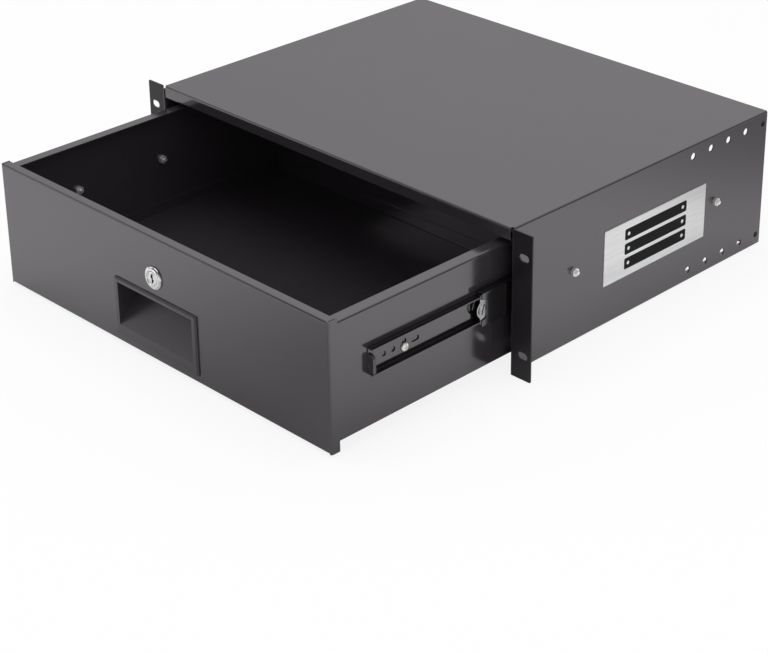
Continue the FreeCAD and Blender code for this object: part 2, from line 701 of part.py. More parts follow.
# ---- drawer -----------------------------------------------------------------------------------
def drawer_wrap():
    """Front panel and both sides folded from one sheet, with stiffening flanges and all holes."""
    fold = BEND_RADIUS + DRAWER_SHEET
    path = [(-DRAWER_HALF, BACK_Y), (-DRAWER_HALF, FRONT_Y),
            (DRAWER_HALF, FRONT_Y), (DRAWER_HALF, BACK_Y)]
    wrap = folded_sheet(path, DRAWER_SHEET, on_xy(FRONT_LOW), Vec(0, 0, FRONT_HEIGHT))
    side_start = FRONT_Y + FRONT_RETURN
    wide = (-DRAWER_HALF - OVERSHOOT, DRAWER_HALF + OVERSHOOT)
    rear = BACK_Y + OVERSHOOT
    below = FRONT_LOW - OVERSHOOT
    above = FRONT_HIGH + OVERSHOOT
    between = (-DRAWER_HALF + fold, DRAWER_HALF - fold)
    front_zone = (FRONT_Y - OVERSHOOT, FRONT_Y + fold)
    wrap = wrap.cut([
        box(wide, (side_start, rear), (below, SIDE_LOW)),
        box(wide, (side_start, rear), (SIDE_HIGH - fold, above)),
        box(between, front_zone, (FRONT_HIGH - fold, above)),
        box(between, front_zone, (below, FRONT_LOW + fold)),
    ])
    pieces = [wrap]
    run = Vec(between[1] - between[0], 0, 0)
    inner_edge = FRONT_Y + FRONT_FLANGE
    top_path = [(inner_edge, FRONT_HIGH), (FRONT_Y, FRONT_HIGH), (FRONT_Y, FRONT_HIGH - fold)]
    foot_path = [(FRONT_Y, FRONT_LOW + fold), (FRONT_Y, FRONT_LOW), (inner_edge, FRONT_LOW)]
    for path in (top_path, foot_path):
        pieces.append(folded_sheet(path, DRAWER_SHEET, on_yz(between[0]), run))
    side_path = [(DRAWER_HALF, SIDE_HIGH - fold), (DRAWER_HALF, SIDE_HIGH),
                 (DRAWER_HALF - SIDE_FLANGE, SIDE_HIGH)]
    flange = folded_sheet(side_path, DRAWER_SHEET, on_xz(side_start),
                          Vec(0, BACK_Y - side_start, 0))
    pieces += both_sides([flange])
    wrap = joined(pieces)
    cuts = [handle_hole(), rod(BARREL_RADIUS + BARREL_FIT, on_lock(-OVERSHOOT),
                               on_lock(DRAWER_SHEET + OVERSHOOT))]
    for offset in DRAWER_BOLT_OFFSETS:
        place = Vec(0, INNER_START + offset, FASTENER_Z)
        cuts += both_sides([rod(BOLT_RADIUS + BOLT_FIT, Vec(DRAWER_INNER - OVERSHOOT, 0, 0) + place,
                                Vec(DRAWER_HALF + OVERSHOOT, 0, 0) + place)])
    return wrap.cut(cuts)


def drawer_floor():
    """Floor tray with upturned flanges along the sides and the back, clear of the front's folds."""
    fold = BEND_RADIUS + DRAWER_SHEET
    start = FRONT_Y + DRAWER_SHEET
    end = BACK_Y - DRAWER_SHEET
    high = SIDE_LOW + FLOOR_FLANGE
    path = [(-DRAWER_INNER, high), (-DRAWER_INNER, SIDE_LOW),
            (DRAWER_INNER, SIDE_LOW), (DRAWER_INNER, high)]
    tray = folded_sheet(path, DRAWER_SHEET, on_xz(start), Vec(0, end - start, 0))
    half = DRAWER_INNER - fold - FLANGE_GAP
    tray = tray.cut(box((-half, half), (end - fold, end + OVERSHOOT),
                        (SIDE_LOW - OVERSHOOT, high)))
    back_path = [(end - fold, SIDE_LOW), (end, SIDE_LOW), (end, high)]
    back = folded_sheet(back_path, DRAWER_SHEET, on_yz(-half), Vec(2 * half, 0, 0))
    notch = box((DRAWER_INNER - BEND_RADIUS, DRAWER_HALF), (start - OVERSHOOT, start + BEND_RADIUS),
                (SIDE_LOW - OVERSHOOT, high + OVERSHOOT))
    return joined([tray, back]).cut(both_sides([notch]))


def drawer_back():
    """Back wall between the sides, with a flange folded forward along each side."""
    path = [(DRAWER_INNER, BACK_Y - BACK_FLANGE), (DRAWER_INNER, BACK_Y),
            (-DRAWER_INNER, BACK_Y), (-DRAWER_INNER, BACK_Y - BACK_FLANGE)]
    high = SIDE_HIGH - DRAWER_SHEET - BEND_RADIUS
    wall = folded_sheet(path, DRAWER_SHEET, on_xy(SIDE_LOW), Vec(0, 0, high - SIDE_LOW))
    room = box((-DRAWER_HALF, DRAWER_HALF), (BACK_Y - 2 * BACK_FLANGE, BACK_Y - DRAWER_SHEET),
               (SIDE_LOW - OVERSHOOT, SIDE_LOW + FLOOR_FLANGE + FLANGE_GAP))
    return wall.cut(room)


# ---- handle -----------------------------------------------------------------------------------
def pocket_corners(grow):
    """Side outline of the finger pocket behind the front face, grown outward by a wall."""
    low = FOOT + HANDLE_RISE + HANDLE_BOTTOM - grow
    high = FOOT + HANDLE_RISE + HANDLE_HEIGHT - HANDLE_TOP + grow
    front = FRONT_Y - HANDLE_PROUD
    deep = FRONT_Y + HANDLE_DEPTH + grow
    rise = (deep - front) * math.tan(math.radians(HANDLE_SLOPE))
    corner = HANDLE_POCKET_CORNER + grow
    return [(front, low, 0), (deep, low + rise, corner), (deep, high, corner), (front, high, 0)]


def pocket_solid(grow):
    """Solid of the finger pocket, grown outward by a wall."""
    half = HANDLE_WIDTH / 2 - HANDLE_SIDE + grow
    face = outline_face(pocket_corners(grow), on_yz(-half))
    return face.extrude(Vec(2 * half, 0, 0))


def handle_hole():
    """Cut-out in the front panel that the handle's pocket passes through."""
    grow = HANDLE_WALL + HANDLE_FIT
    half = HANDLE_WIDTH / 2 - HANDLE_SIDE + grow
    low = FOOT + HANDLE_RISE + HANDLE_BOTTOM - grow
    high = FOOT + HANDLE_RISE + HANDLE_HEIGHT - HANDLE_TOP + grow
    return box((-half, half), (FRONT_Y - OVERSHOOT, FRONT_Y + DRAWER_SHEET + OVERSHOOT),
               (low, high))


def handle_cup():
    """Moulded handle: bevelled frame on the front panel and a finger pocket behind it."""
    half = HANDLE_WIDTH / 2
    low = FOOT + HANDLE_RISE
    frame = box((-half, half), (FRONT_Y - HANDLE_PROUD, FRONT_Y), (low, low + HANDLE_HEIGHT))
    corners = [edge for edge in frame.Edges if edge.BoundBox.YLength > HANDLE_PROUD / 2]
    frame = frame.makeFillet(HANDLE_CORNER, corners)
    rim = [edge for edge in frame.Edges
           if abs(edge.BoundBox.YMax - (FRONT_Y - HANDLE_PROUD)) < 1e-6]
    frame = frame.makeChamfer(HANDLE_BEVEL, rim)
    behind = box((-half, half), (FRONT_Y, FRONT_Y + 2 * HANDLE_DEPTH),
                 (low, low + HANDLE_HEIGHT))
    cup = pocket_solid(HANDLE_WALL).common(behind)
    return joined([frame, cup]).cut(pocket_solid(0))


# ---- lock -------------------------------------------------------------------------------------
def on_lock(depth):
    """Point on the lock's axis, this far behind the front panel's face."""
    return Vec(0, FRONT_Y + depth, LOCK_Z)


def lock_housing():
    """Lock barrel with its bevelled front ring."""
    ring = rod(BEZEL_RADIUS, on_lock(-BEZEL_PROUD), on_lock(0))
    edge = [edge for edge in ring.Edges
            if abs(edge.BoundBox.YMax - (FRONT_Y - BEZEL_PROUD)) < 1e-6]
    ring = ring.makeChamfer(BEZEL_BEVEL, edge)
    barrel = rod(BARREL_RADIUS, on_lock(0), on_lock(BARREL_LENGTH))
    bore = rod(PLUG_RADIUS + PLUG_FIT, on_lock(-BEZEL_PROUD), on_lock(BARREL_LENGTH))
    return joined([ring, barrel]).cut(bore)


def lock_plug():
    """Turning plug with its keyway in front and a square tail for the cam."""
    front = PLUG_INSET - BEZEL_PROUD
    body = rod(PLUG_RADIUS, on_lock(front), on_lock(BARREL_LENGTH))
    half = CAM_SQUARE / 2
    tail = box((-half, half), (FRONT_Y + BARREL_LENGTH, FRONT_Y + CAM_END),
               (LOCK_Z - half, LOCK_Z + half))
    keyway = box((-KEYWAY_WIDTH / 2, KEYWAY_WIDTH / 2),
                 (FRONT_Y + front, FRONT_Y + front + KEYWAY_DEPTH),
                 (LOCK_Z - KEYWAY_HEIGHT / 2, LOCK_Z + KEYWAY_HEIGHT / 2))
    bore = rod(CAM_SCREW_SHANK, on_lock(CAM_END - CAM_SCREW_DEPTH), on_lock(CAM_END))
    return joined([body, tail]).cut([keyway, bore])


def lock_washer():
    """Washer between the front panel and the lock's nut."""
    start, end = on_lock(DRAWER_SHEET), on_lock(DRAWER_SHEET + WASHER_THICKNESS)
    return rod(WASHER_RADIUS, start, end).cut(rod(BARREL_RADIUS, start, end))


def lock_nut():
    """Large hexagon nut that clamps the lock in the front panel."""
    start = DRAWER_SHEET + WASHER_THICKNESS
    end = start + LOCK_NUT_THICKNESS
    nut = hex_prism(LOCK_NUT_FLATS, on_lock(start), on_lock(end))
    return nut.cut(rod(BARREL_RADIUS, on_lock(start), on_lock(end)))


def lock_cam():
    """Flat cam on the plug's square tail, lying level when the lock is open."""
    start = FRONT_Y + CAM_START
    half = CAM_WIDTH / 2
    corners = [(half, LOCK_Z - half, CAM_ROUND), (half, LOCK_Z + half, CAM_ROUND),
               (-CAM_LENGTH, LOCK_Z + half, CAM_TIP_CORNER),
               (-CAM_LENGTH, LOCK_Z - half, CAM_TIP_CORNER)]
    blade = outline_face(corners, on_xz(start)).extrude(Vec(0, CAM_THICKNESS, 0))
    side = CAM_SQUARE / 2
    hole = box((-side, side), (start - OVERSHOOT, start + CAM_THICKNESS + OVERSHOOT),
               (LOCK_Z - side, LOCK_Z + side))
    return blade.cut(hole)


def cam_screw():
    """Screw that holds the cam on the plug."""
    head = rod(CAM_SCREW_RADIUS, on_lock(CAM_END), on_lock(CAM_END + CAM_SCREW_HEAD))
    shank = rod(CAM_SCREW_SHANK, on_lock(CAM_END - CAM_SCREW_DEPTH), on_lock(CAM_END))
    return joined([head, shank])


# ---- keys -------------------------------------------------------------------------------------
def ring_centre():
    """Centre of the key ring, where it rests on the drawer's floor."""
    lift = RING_RADIUS * math.sin(math.radians(RING_TILT)) + RING_WIRE
    return Vec(DRAWER_INNER - RING_SIDE_GAP, FRONT_Y + RING_FRONT_GAP,
               SIDE_LOW + DRAWER_SHEET + lift)


def place_key(shape, turned):
    """Tilts a key that is drawn along X so that it hangs from the ring down to the floor."""
    shape.rotate(Vec(0, 0, 0), Vec(0, 1, 0), -KEY_TILT)
    shape.translate(ring_centre() - Vec(RING_RADIUS, 0, 0))
    if turned:
        shape.rotate(ring_centre(), Vec(0, 0, 1), 180)
    return shape


def key_bow():
    """Moulded key grip, drawn along -X with its ring hole at the origin."""
    end = KEY_HOLE_INSET
    start = end - KEY_BOW_LENGTH
    half = KEY_BOW_WIDTH / 2
    corners = [(start, -half, KEY_BOW_CORNER), (end, -half, KEY_RING_CORNER),
               (end, half, KEY_RING_CORNER), (start, half, KEY_BOW_CORNER)]
    bow = outline_face(corners, on_xy(-KEY_BOW_THICKNESS / 2))
    bow = bow.extrude(Vec(0, 0, KEY_BOW_THICKNESS))
    hole = rod(KEY_HOLE_RADIUS, Vec(0, 0, -KEY_BOW_THICKNESS), Vec(0, 0, KEY_BOW_THICKNESS))
    return bow.cut(hole)


def key_blade():
    """Flat key blade with a pointed end, drawn along -X from the grip."""
    start = KEY_HOLE_INSET - KEY_BOW_LENGTH
    tip = start - KEY_BLADE_LENGTH
    half = KEY_BLADE_WIDTH / 2
    corners = [(start, -half, 0), (start, half, 0), (tip + half, half, KEY_TIP_CORNER),
               (tip, 0, KEY_TIP_CORNER), (tip + half, -half, KEY_TIP_CORNER)]
    blade = outline_face(corners, on_xy(-KEY_BLADE_THICKNESS / 2))
    return blade.extrude(Vec(0, 0, KEY_BLADE_THICKNESS))


def key_ring():
    """Wire ring through both keys' holes, leaning on the drawer's floor."""
    lean = math.radians(RING_TILT)
    axis = Vec(0, math.sin(lean), math.cos(lean))
    return Part.makeTorus(RING_RADIUS, RING_WIRE, ring_centre(), axis)


# ---- output -----------------------------------------------------------------------------------
def all_nodes():
    """Every named piece with its solids."""
    nodes = {
        "case_shell": [case_shell()],
        "rear_top_brace": [rear_brace(True)],
        "rear_bottom_brace": [rear_brace(False)],
        "brace_screws": brace_screws(),
        "size_plate": [size_plate()],
        "case_slide_bolts": case_slide_bolts(),
        "case_slide_nuts": case_slide_nuts(),
        "drawer_wrap": [drawer_wrap()],
        "drawer_floor": [drawer_floor()],
        "drawer_back": [drawer_back()],
        "drawer_slide_screws": drawer_slide_screws(),
        "drawer_slide_nuts": drawer_slide_nuts(),
        "handle_cup": [handle_cup()],
        "lock_housing": [lock_housing()],
        "lock_plug": [lock_plug()],
        "lock_washer": [lock_washer()],
        "lock_nut": [lock_nut()],
        "lock_cam": [lock_cam()],
        "cam_screw": [cam_screw()],
        "key_ring": [key_ring()],
    }
    right = {
        "slide_outer": [slide_outer()],
        "slide_middle": [slide_middle()],
        "slide_inner": [slide_inner()],
        "slide_end_cap": [slide_end_cap()],
        "outer_cage": outer_cage(),
        "inner_cage": inner_cage(),
        "outer_balls": balls(OUTER_BALL, OUTER_ROW, OUTER_CAGE_START),
        "inner_balls": balls(INNER_BALL, INNER_ROW, INNER_CAGE_START),
    }
    for name, shapes in right.items():
        nodes[name + "_right"] = shapes
        nodes[name + "_left"] = [mirrored(shape) for shape in shapes]
    for number, turned in ((1, False), (2, True)):
        nodes["key_bow_%d" % number] = [place_key(key_bow(), turned)]
        nodes["key_blade_%d" % number] = [place_key(key_blade(), turned)]
    return nodes


def main():
    """Writes one STEP file for each named piece."""
    os.makedirs("parts", exist_ok=True)
    for name, shapes in all_nodes().items():
        solids = [solid for shape in shapes for solid in shape.Solids]
        whole = solids[0] if len(solids) == 1 else Part.makeCompound(solids)
        whole.exportStep(os.path.join("parts", name + ".step"))


main()
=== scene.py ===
"""Dresses the three-unit sliding rack drawer: finishes, fasteners, lock, keys, size plate, studio.

Everything is in metres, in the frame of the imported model: X across the rack, Y back into the
rack, Z up.
"""
from __future__ import annotations

import json
import logging
import math
from dataclasses import dataclass, field
from enum import Enum
from typing import Callable, Iterable, Mapping, Sequence, Union

import bmesh
import bpy
from mathutils import Matrix, Vector

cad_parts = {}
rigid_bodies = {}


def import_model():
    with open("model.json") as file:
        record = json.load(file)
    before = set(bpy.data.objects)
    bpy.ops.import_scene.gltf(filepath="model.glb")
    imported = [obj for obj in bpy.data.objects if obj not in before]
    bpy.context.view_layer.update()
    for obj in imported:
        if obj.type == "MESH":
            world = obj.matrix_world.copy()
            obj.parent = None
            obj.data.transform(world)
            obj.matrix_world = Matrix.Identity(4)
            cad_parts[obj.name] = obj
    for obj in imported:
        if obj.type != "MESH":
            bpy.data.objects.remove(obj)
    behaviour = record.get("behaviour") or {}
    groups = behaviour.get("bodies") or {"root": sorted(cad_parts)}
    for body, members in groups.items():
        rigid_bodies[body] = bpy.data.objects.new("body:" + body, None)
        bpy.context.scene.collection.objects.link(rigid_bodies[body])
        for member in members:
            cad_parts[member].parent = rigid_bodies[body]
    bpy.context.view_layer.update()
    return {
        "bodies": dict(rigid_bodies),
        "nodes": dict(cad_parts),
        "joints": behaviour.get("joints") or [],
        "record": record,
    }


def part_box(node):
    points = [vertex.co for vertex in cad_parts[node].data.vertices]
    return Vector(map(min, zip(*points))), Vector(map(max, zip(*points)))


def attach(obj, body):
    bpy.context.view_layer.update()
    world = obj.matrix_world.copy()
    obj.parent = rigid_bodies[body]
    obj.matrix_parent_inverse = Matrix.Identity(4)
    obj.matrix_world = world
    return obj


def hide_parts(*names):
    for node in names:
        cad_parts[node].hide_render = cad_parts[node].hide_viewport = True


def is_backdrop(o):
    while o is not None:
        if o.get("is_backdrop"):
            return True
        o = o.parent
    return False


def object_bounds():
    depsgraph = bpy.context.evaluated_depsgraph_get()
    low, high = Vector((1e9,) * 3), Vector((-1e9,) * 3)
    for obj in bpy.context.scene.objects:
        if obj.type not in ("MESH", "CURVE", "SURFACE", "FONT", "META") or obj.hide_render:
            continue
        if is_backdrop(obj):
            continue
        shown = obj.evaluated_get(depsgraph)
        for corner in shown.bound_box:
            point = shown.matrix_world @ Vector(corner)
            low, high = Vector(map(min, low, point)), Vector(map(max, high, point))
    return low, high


MM = 0.001
LOG = logging.getLogger("rack_drawer")
SQUARE = ((1, 1), (-1, 1), (-1, -1), (1, -1))

Number = Union["Signal", float]
Socket = Union[int, str]
Step = tuple[float, float]
Triple = tuple[float, float, float]
Colour = tuple[float, float, float, float]
Ring = list[Vector]
Outline = Sequence[tuple[float, float]]


# ---- shader maths -----------------------------------------------------------------------------
class Signal:
    """A shader socket that takes part in Python arithmetic."""

    def __init__(self, bench: "NodeBench", socket: bpy.types.NodeSocket) -> None:
        """Keeps the socket and the bench that makes further nodes."""
        self.bench = bench
        self.socket = socket

    def _maths(self, operation: str, first: Number, second: Number) -> "Signal":
        """Adds one Math node and returns its result."""
        return self.bench.signal("ShaderNodeMath", {"operation": operation}, {0: first, 1: second})

    def __add__(self, other: Number) -> "Signal":
        """Sum."""
        return self._maths("ADD", self, other)

    def __radd__(self, other: Number) -> "Signal":
        """Sum with a plain number first."""
        return self._maths("ADD", other, self)

    def __sub__(self, other: Number) -> "Signal":
        """Difference."""
        return self._maths("SUBTRACT", self, other)

    def __rsub__(self, other: Number) -> "Signal":
        """Difference from a plain number."""
        return self._maths("SUBTRACT", other, self)

    def __mul__(self, other: Number) -> "Signal":
        """Product."""
        return self._maths("MULTIPLY", self, other)

    def __rmul__(self, other: Number) -> "Signal":
        """Product with a plain number first."""
        return self._maths("MULTIPLY", other, self)

    def above(self, edge: float, width: float) -> "Signal":
        """Soft step.

        Args:
            edge: Value at which the step is half way.
            width: Width of the soft part.

        Returns:
            0 well below the edge and 1 well above it.
        """
        return self.bench.signal(
            "ShaderNodeMapRange",
            {"interpolation_type": "SMOOTHSTEP", "clamp": True},
            {"Value": self, "From Min": edge - width / 2, "From Max": edge + width / 2},
        )


class NodeBench:
    """Makes and links the nodes of one material or world."""

    def __init__(self, tree: bpy.types.NodeTree) -> None:
        """Clears the tree and keeps it."""
        self.tree = tree
        tree.nodes.clear()

    def node(self, kind: str, settings: Mapping[str, object],
             sockets: Mapping[Socket, object]) -> bpy.types.Node:
        """Adds one node.

        Args:
            kind: The node's type.
            settings: Its properties, set before its sockets.
            sockets: Values or signals for its inputs, by name or place.

        Returns:
            The new node.
        """
        made = self.tree.nodes.new(kind)
        for name, value in settings.items():
            setattr(made, name, value)
        for key, value in sockets.items():
            target = made.inputs[key]
            if isinstance(value, Signal):
                self.tree.links.new(value.socket, target)
            else:
                target.default_value = value
        return made

    def signal(self, kind: str, settings: Mapping[str, object],
               sockets: Mapping[Socket, object], output: Socket = 0) -> Signal:
        """Adds one node and returns the named one of its outputs."""
        return Signal(self, self.node(kind, settings, sockets).outputs[output])

    def place(self, stretch: Triple = (1, 1, 1)) -> Signal:
        """Position on the object, in metres.

        Args:
            stretch: Factor on each axis.

        Returns:
            The position vector.
        """
        place = self.signal("ShaderNodeTexCoord", {}, {}, "Object")
        if stretch == (1, 1, 1):
            return place
        return self.signal("ShaderNodeMapping", {}, {"Vector": place, "Scale": stretch})

    def facing(self) -> Signal:
        """Direction that the flat face looks in."""
        return self.signal("ShaderNodeNewGeometry", {}, {}, "Normal")

    def part(self, vector: Signal, axis: str) -> Signal:
        """One component of a vector, named by its axis."""
        return self.signal("ShaderNodeSeparateXYZ", {}, {0: vector}, axis)

    def vectors(self, operation: str, first: Signal, second: Union[Signal, Triple]) -> Signal:
        """Number that a Vector Math node makes from two vectors."""
        return self.signal("ShaderNodeVectorMath", {"operation": operation},
                           {0: first, 1: second}, "Value")

    def noise(self, place: Signal, scale: float, detail: float = 2.0) -> Signal:
        """Soft noise from 0 to 1.

        Args:
            place: Position vector.
            scale: Cells per metre.
            detail: Octaves.

        Returns:
            The noise value.
        """
        return self.signal("ShaderNodeTexNoise", {},
                           {"Vector": place, "Scale": scale, "Detail": detail})

    def specks(self, place: Signal, scale: float, size: float) -> Signal:
        """Small round specks.

        Args:
            place: Position vector.
            scale: Cells per metre.
            size: Speck radius as a share of a cell.

        Returns:
            1 inside a speck and 0 outside.
        """
        near = self.signal("ShaderNodeTexVoronoi", {"feature": "F1"},
                           {"Vector": place, "Scale": scale})
        return 1 - near.above(size, size)

    def blend(self, amount: Number, under: object, over: object) -> Signal:
        """Mixes two colours.

        Args:
            amount: Share of the second colour.
            under: First colour.
            over: Second colour.

        Returns:
            The mixed colour.
        """
        return self.signal("ShaderNodeMix", {"data_type": "RGBA", "clamp_factor": True},
                           {0: amount, 6: under, 7: over}, 2)

    def join(self, amount: Number, under: Signal, over: Signal) -> Signal:
        """Mixes two shaders; the amount is the second one's share."""
        return self.signal("ShaderNodeMixShader", {}, {0: amount, 1: under, 2: over})

    def rounding(self, radius: float) -> Signal:
        """Normal that rounds sharp edges to a radius in metres."""
        return self.signal("ShaderNodeBevel", {"samples": 4}, {"Radius": radius})

    def bump(self, height: Signal, depth: float, round_edge: float = 0.0) -> Signal:
        """Surface normal with fine relief.

        Args:
            height: Relief from 0 to 1.
            depth: Its depth in metres.
            round_edge: Radius to which sharp edges look rounded.

        Returns:
            The normal vector.
        """
        sockets: dict[Socket, object] = {"Height": height, "Strength": 1.0, "Distance": depth}
        if round_edge > 0:
            sockets["Normal"] = self.rounding(round_edge)
        return self.signal("ShaderNodeBump", {}, sockets)

    def edges(self, reach: float) -> Signal:
        """Mask of edges: 0 on flat faces, rising within the reach of an edge."""
        return 1 - self.vectors("DOT_PRODUCT", self.rounding(reach), self.facing())

    def hollows(self, reach: float) -> Signal:
        """Mask of crevices from ambient occlusion: 0 on open faces, rising where other walls are
        within the reach; it drives painted shade.
        """
        return 1 - self.signal("ShaderNodeAmbientOcclusion", {"samples": 8, "only_local": True},
                               {"Distance": reach}, "AO")


def grey(level: float, warmth: float = 0.0) -> Colour:
    """Opaque grey; the warmth is the share by which red is above it and blue below it."""
    return (level * (1 + warmth), level, level * (1 - warmth), 1.0)


def violet(level: float, cast: float = 0.14) -> Colour:
    """Opaque black-coat grey; the cast is the share by which green is below red and blue."""
    return (level, level * (1 - cast), level, 1.0)


def dimmed(colour: Colour, share: float) -> Colour:
    """A colour with the given share of its brightness."""
    return tuple(channel * share for channel in colour[:3]) + (1.0,)


BLACK_SHEEN = violet(1.0, 0.045)


# ---- finishes ---------------------------------------------------------------------------------
@dataclass(frozen=True)
class Finish:
    """A surface finish that becomes one procedural material."""

    name: str

    def surface(self, bench: NodeBench) -> dict[str, object]:
        """Values and signals of the surface shader's sockets, from one bench."""
        raise NotImplementedError

    def shader(self, bench: NodeBench) -> Signal:
        """The whole surface shader, from one bench."""
        return bench.signal("ShaderNodeBsdfPrincipled", {}, self.surface(bench), "BSDF")

    def material(self) -> bpy.types.Material:
        """Builds the finish's material.

        Returns:
            The new material.
        """
        made = bpy.data.materials.new(self.name)
        made.use_nodes = True
        bench = NodeBench(made.node_tree)
        bench.node("ShaderNodeOutputMaterial", {}, {"Surface": self.shader(bench)})
        return made


@dataclass(frozen=True)
class DullShadeCoat(Finish):
    """Darker, matt copy of a black coat with fine scuffs, laid on as painted shade; it shows only
    as a part of other finishes.
    """

    shade: float
    spread: float
    gloss: float
    gloss_range: float
    shine: float
    scuff_stretch: Triple
    scuff_depth: float = 0.004 * MM
    edge_width: float = 0.5 * MM
    edge_round: float = 0.3 * MM
    edge_share: float = 1.0
    edge_tone: float = 0.1

    def surface(self, bench: NodeBench) -> dict[str, object]:
        """Matt black with scuffs in tone, gloss and relief, and lighter edges: partly wear, partly
        a painted highlight.

        Args:
            bench: Where the nodes are made.

        Returns:
            Values and signals of the surface shader's sockets.
        """
        scuff = bench.noise(bench.place(self.scuff_stretch), 1.0, 3.0)
        tone = bench.blend(scuff, violet(self.shade * (1 - self.spread)),
                           violet(self.shade * (1 + self.spread)))
        # Edges are painted lighter: partly rubbed wear, partly a painted highlight.
        edge = bench.edges(self.edge_width) * self.edge_share
        return {
            "Base Color": bench.blend(edge, tone, grey(self.edge_tone)),
            "Roughness": self.gloss + self.gloss_range * scuff,
            "Specular IOR Level": self.shine,
            "Specular Tint": BLACK_SHEEN,
            "Normal": bench.bump(scuff, self.scuff_depth, self.edge_round),
        }


@dataclass(frozen=True)
class PowderCoat(Finish):
    """Semi-gloss black powder coat: fine orange peel, faint clouds, wiped smears, a little dust."""

    shade: float = 0.03
    gloss: float = 0.1
    density: float = 1.6
    cloud_scale: float = 9.0
    smear_stretch: Triple = (26, 60, 90)
    smear_step: Step = (0.56, 0.3)
    dust_scale: float = 120.0
    dust_size: float = 0.05
    dust_patch_scale: float = 45.0
    dust_patch_step: Step = (0.62, 0.1)
    dust_tone: Colour = grey(0.12, 0.03)
    peel_size: float = 1.6 * MM
    peel_depth: float = 0.0035 * MM
    edge_width: float = 0.5 * MM
    edge_round: float = 0.35 * MM

    def surface(self, bench: NodeBench) -> dict[str, object]:
        """Dark base with peel, cloudy gloss and lighter edges: a thinner coat there, and a painted
        highlight.

        Args:
            bench: Where the nodes are made.

        Returns:
            Values and signals of the surface shader's sockets.
        """
        place = bench.place()
        cloud = bench.noise(place, self.cloud_scale, 3.0)
        smear = bench.noise(bench.place(self.smear_stretch), 1.0, 3.0).above(*self.smear_step)
        peel = bench.noise(place, 1 / self.peel_size)
        grain = bench.noise(place, 3 / self.peel_size, 1.0)
        dusty = bench.noise(place, self.dust_patch_scale).above(*self.dust_patch_step)
        dust = bench.specks(place, self.dust_scale, self.dust_size) * dusty
        edge = bench.edges(self.edge_width)
        tone = bench.blend(cloud, violet(self.shade * 0.86), violet(self.shade * 1.14))
        # Edges painted lighter: partly a thinner coat, partly a painted highlight along the edges.
        tone = bench.blend(edge * 1.2, tone, violet(self.shade * 2.6))
        return {
            "Base Color": bench.blend(dust * 0.3, tone, self.dust_tone),
            "Roughness": self.gloss + 0.05 * cloud + 0.05 * smear + 0.03 * grain + 0.1 * dust,
            "IOR": self.density,
            "Specular IOR Level": 1.0,
            "Specular Tint": BLACK_SHEEN,
            "Normal": bench.bump(peel * 0.75 + grain * 0.25, self.peel_depth, self.edge_round),
        }


@dataclass(frozen=True)
class CaseCoat(PowderCoat):
    """The case's powder coat, with its rack ears in a darker, matt copy of it: painted shade."""

    ear_start: float = 220.5 * MM
    ear_shade_coat: DullShadeCoat = DullShadeCoat("shaded ear coat", shade=0.012, spread=0.2, gloss=0.26,
                                  gloss_range=0.16, shine=0.3, scuff_stretch=(900, 900, 35),
                                  edge_share=1.4)

    def shader(self, bench: NodeBench) -> Signal:
        """Glossy coat with a darker, matt one beyond the case's sides, as painted shade on the
        ears.

        Args:
            bench: Where the nodes are made.

        Returns:
            The whole surface shader.
        """
        across = bench.part(bench.place(), "X")
        # Beyond the case's sides the ears get the darker matt coat: painted shade.
        ear = (across * across).above(self.ear_start ** 2, self.ear_start * MM)
        return bench.join(ear, super().shader(bench), self.ear_shade_coat.shader(bench))


@dataclass(frozen=True)
class SlideBlack(Finish):
    """Thin black electro-coat on rolled strip: streaks along the slide, flanges in a darker, dull
    copy as painted shade.
    """

    shade: float = 0.005
    gloss: float = 0.08
    shine: float = 1.0
    density: float = 1.7
    flange_gloss: float = 0.3
    flange_shine: float = 0.35
    flange_step: Step = (0.6, 0.3)
    cloud_scale: float = 40.0
    streak_stretch: Triple = (900, 14, 900)
    streak_depth: float = 0.004 * MM
    wear_stretch: Triple = (260, 60, 260)
    wear_step: Step = (0.44, 0.2)
    wear_tone: Colour = grey(0.4, 0.02)
    rub_width: float = 0.35 * MM
    rub_step: Step = (0.16, 0.2)
    edge_round: float = 0.3 * MM

    def surface(self, bench: NodeBench) -> dict[str, object]:
        """Dark base with fine streaks along Y and rubbed edges.

        Args:
            bench: Where the nodes are made.

        Returns:
            Values and signals of the surface shader's sockets.
        """
        streak = bench.noise(bench.place(self.streak_stretch), 1.0, 3.0)
        cloud = bench.noise(bench.place(), self.cloud_scale)
        worn = bench.noise(bench.place(self.wear_stretch), 1.0).above(*self.wear_step)
        rub = bench.edges(self.rub_width).above(*self.rub_step) * worn
        tone = bench.blend(streak, violet(self.shade * 0.7), violet(self.shade * 1.3))
        return {
            "Base Color": bench.blend(rub, tone, self.wear_tone),
            "Metallic": 0.03 + 0.9 * rub,
            "Roughness": self.gloss + 0.07 * streak + 0.05 * cloud,
            "IOR": self.density,
            "Specular IOR Level": self.shine,
            "Specular Tint": BLACK_SHEEN,
            "Normal": bench.bump(streak, self.streak_depth, self.edge_round),
        }

    def shader(self, bench: NodeBench) -> Signal:
        """Bright coat on the webs and a darker, dull copy on faces that look up or down: painted
        shade on the flanges.

        Args:
            bench: Where the nodes are made.

        Returns:
            The whole surface shader.
        """
        shaded = DullShadeCoat("shaded flange coat", shade=self.shade, spread=0.3,
                          gloss=self.flange_gloss, gloss_range=0.12, shine=self.flange_shine,
                          scuff_stretch=self.streak_stretch, scuff_depth=self.streak_depth,
                          edge_width=0.3 * MM, edge_round=0.2 * MM, edge_tone=0.12)
        # Faces that look up or down get the darker dull coat: painted shade.
        upward = bench.part(bench.facing(), "Z")
        flange = (upward * upward).above(*self.flange_step)
        return bench.join(flange, super().shader(bench), shaded.shader(bench))


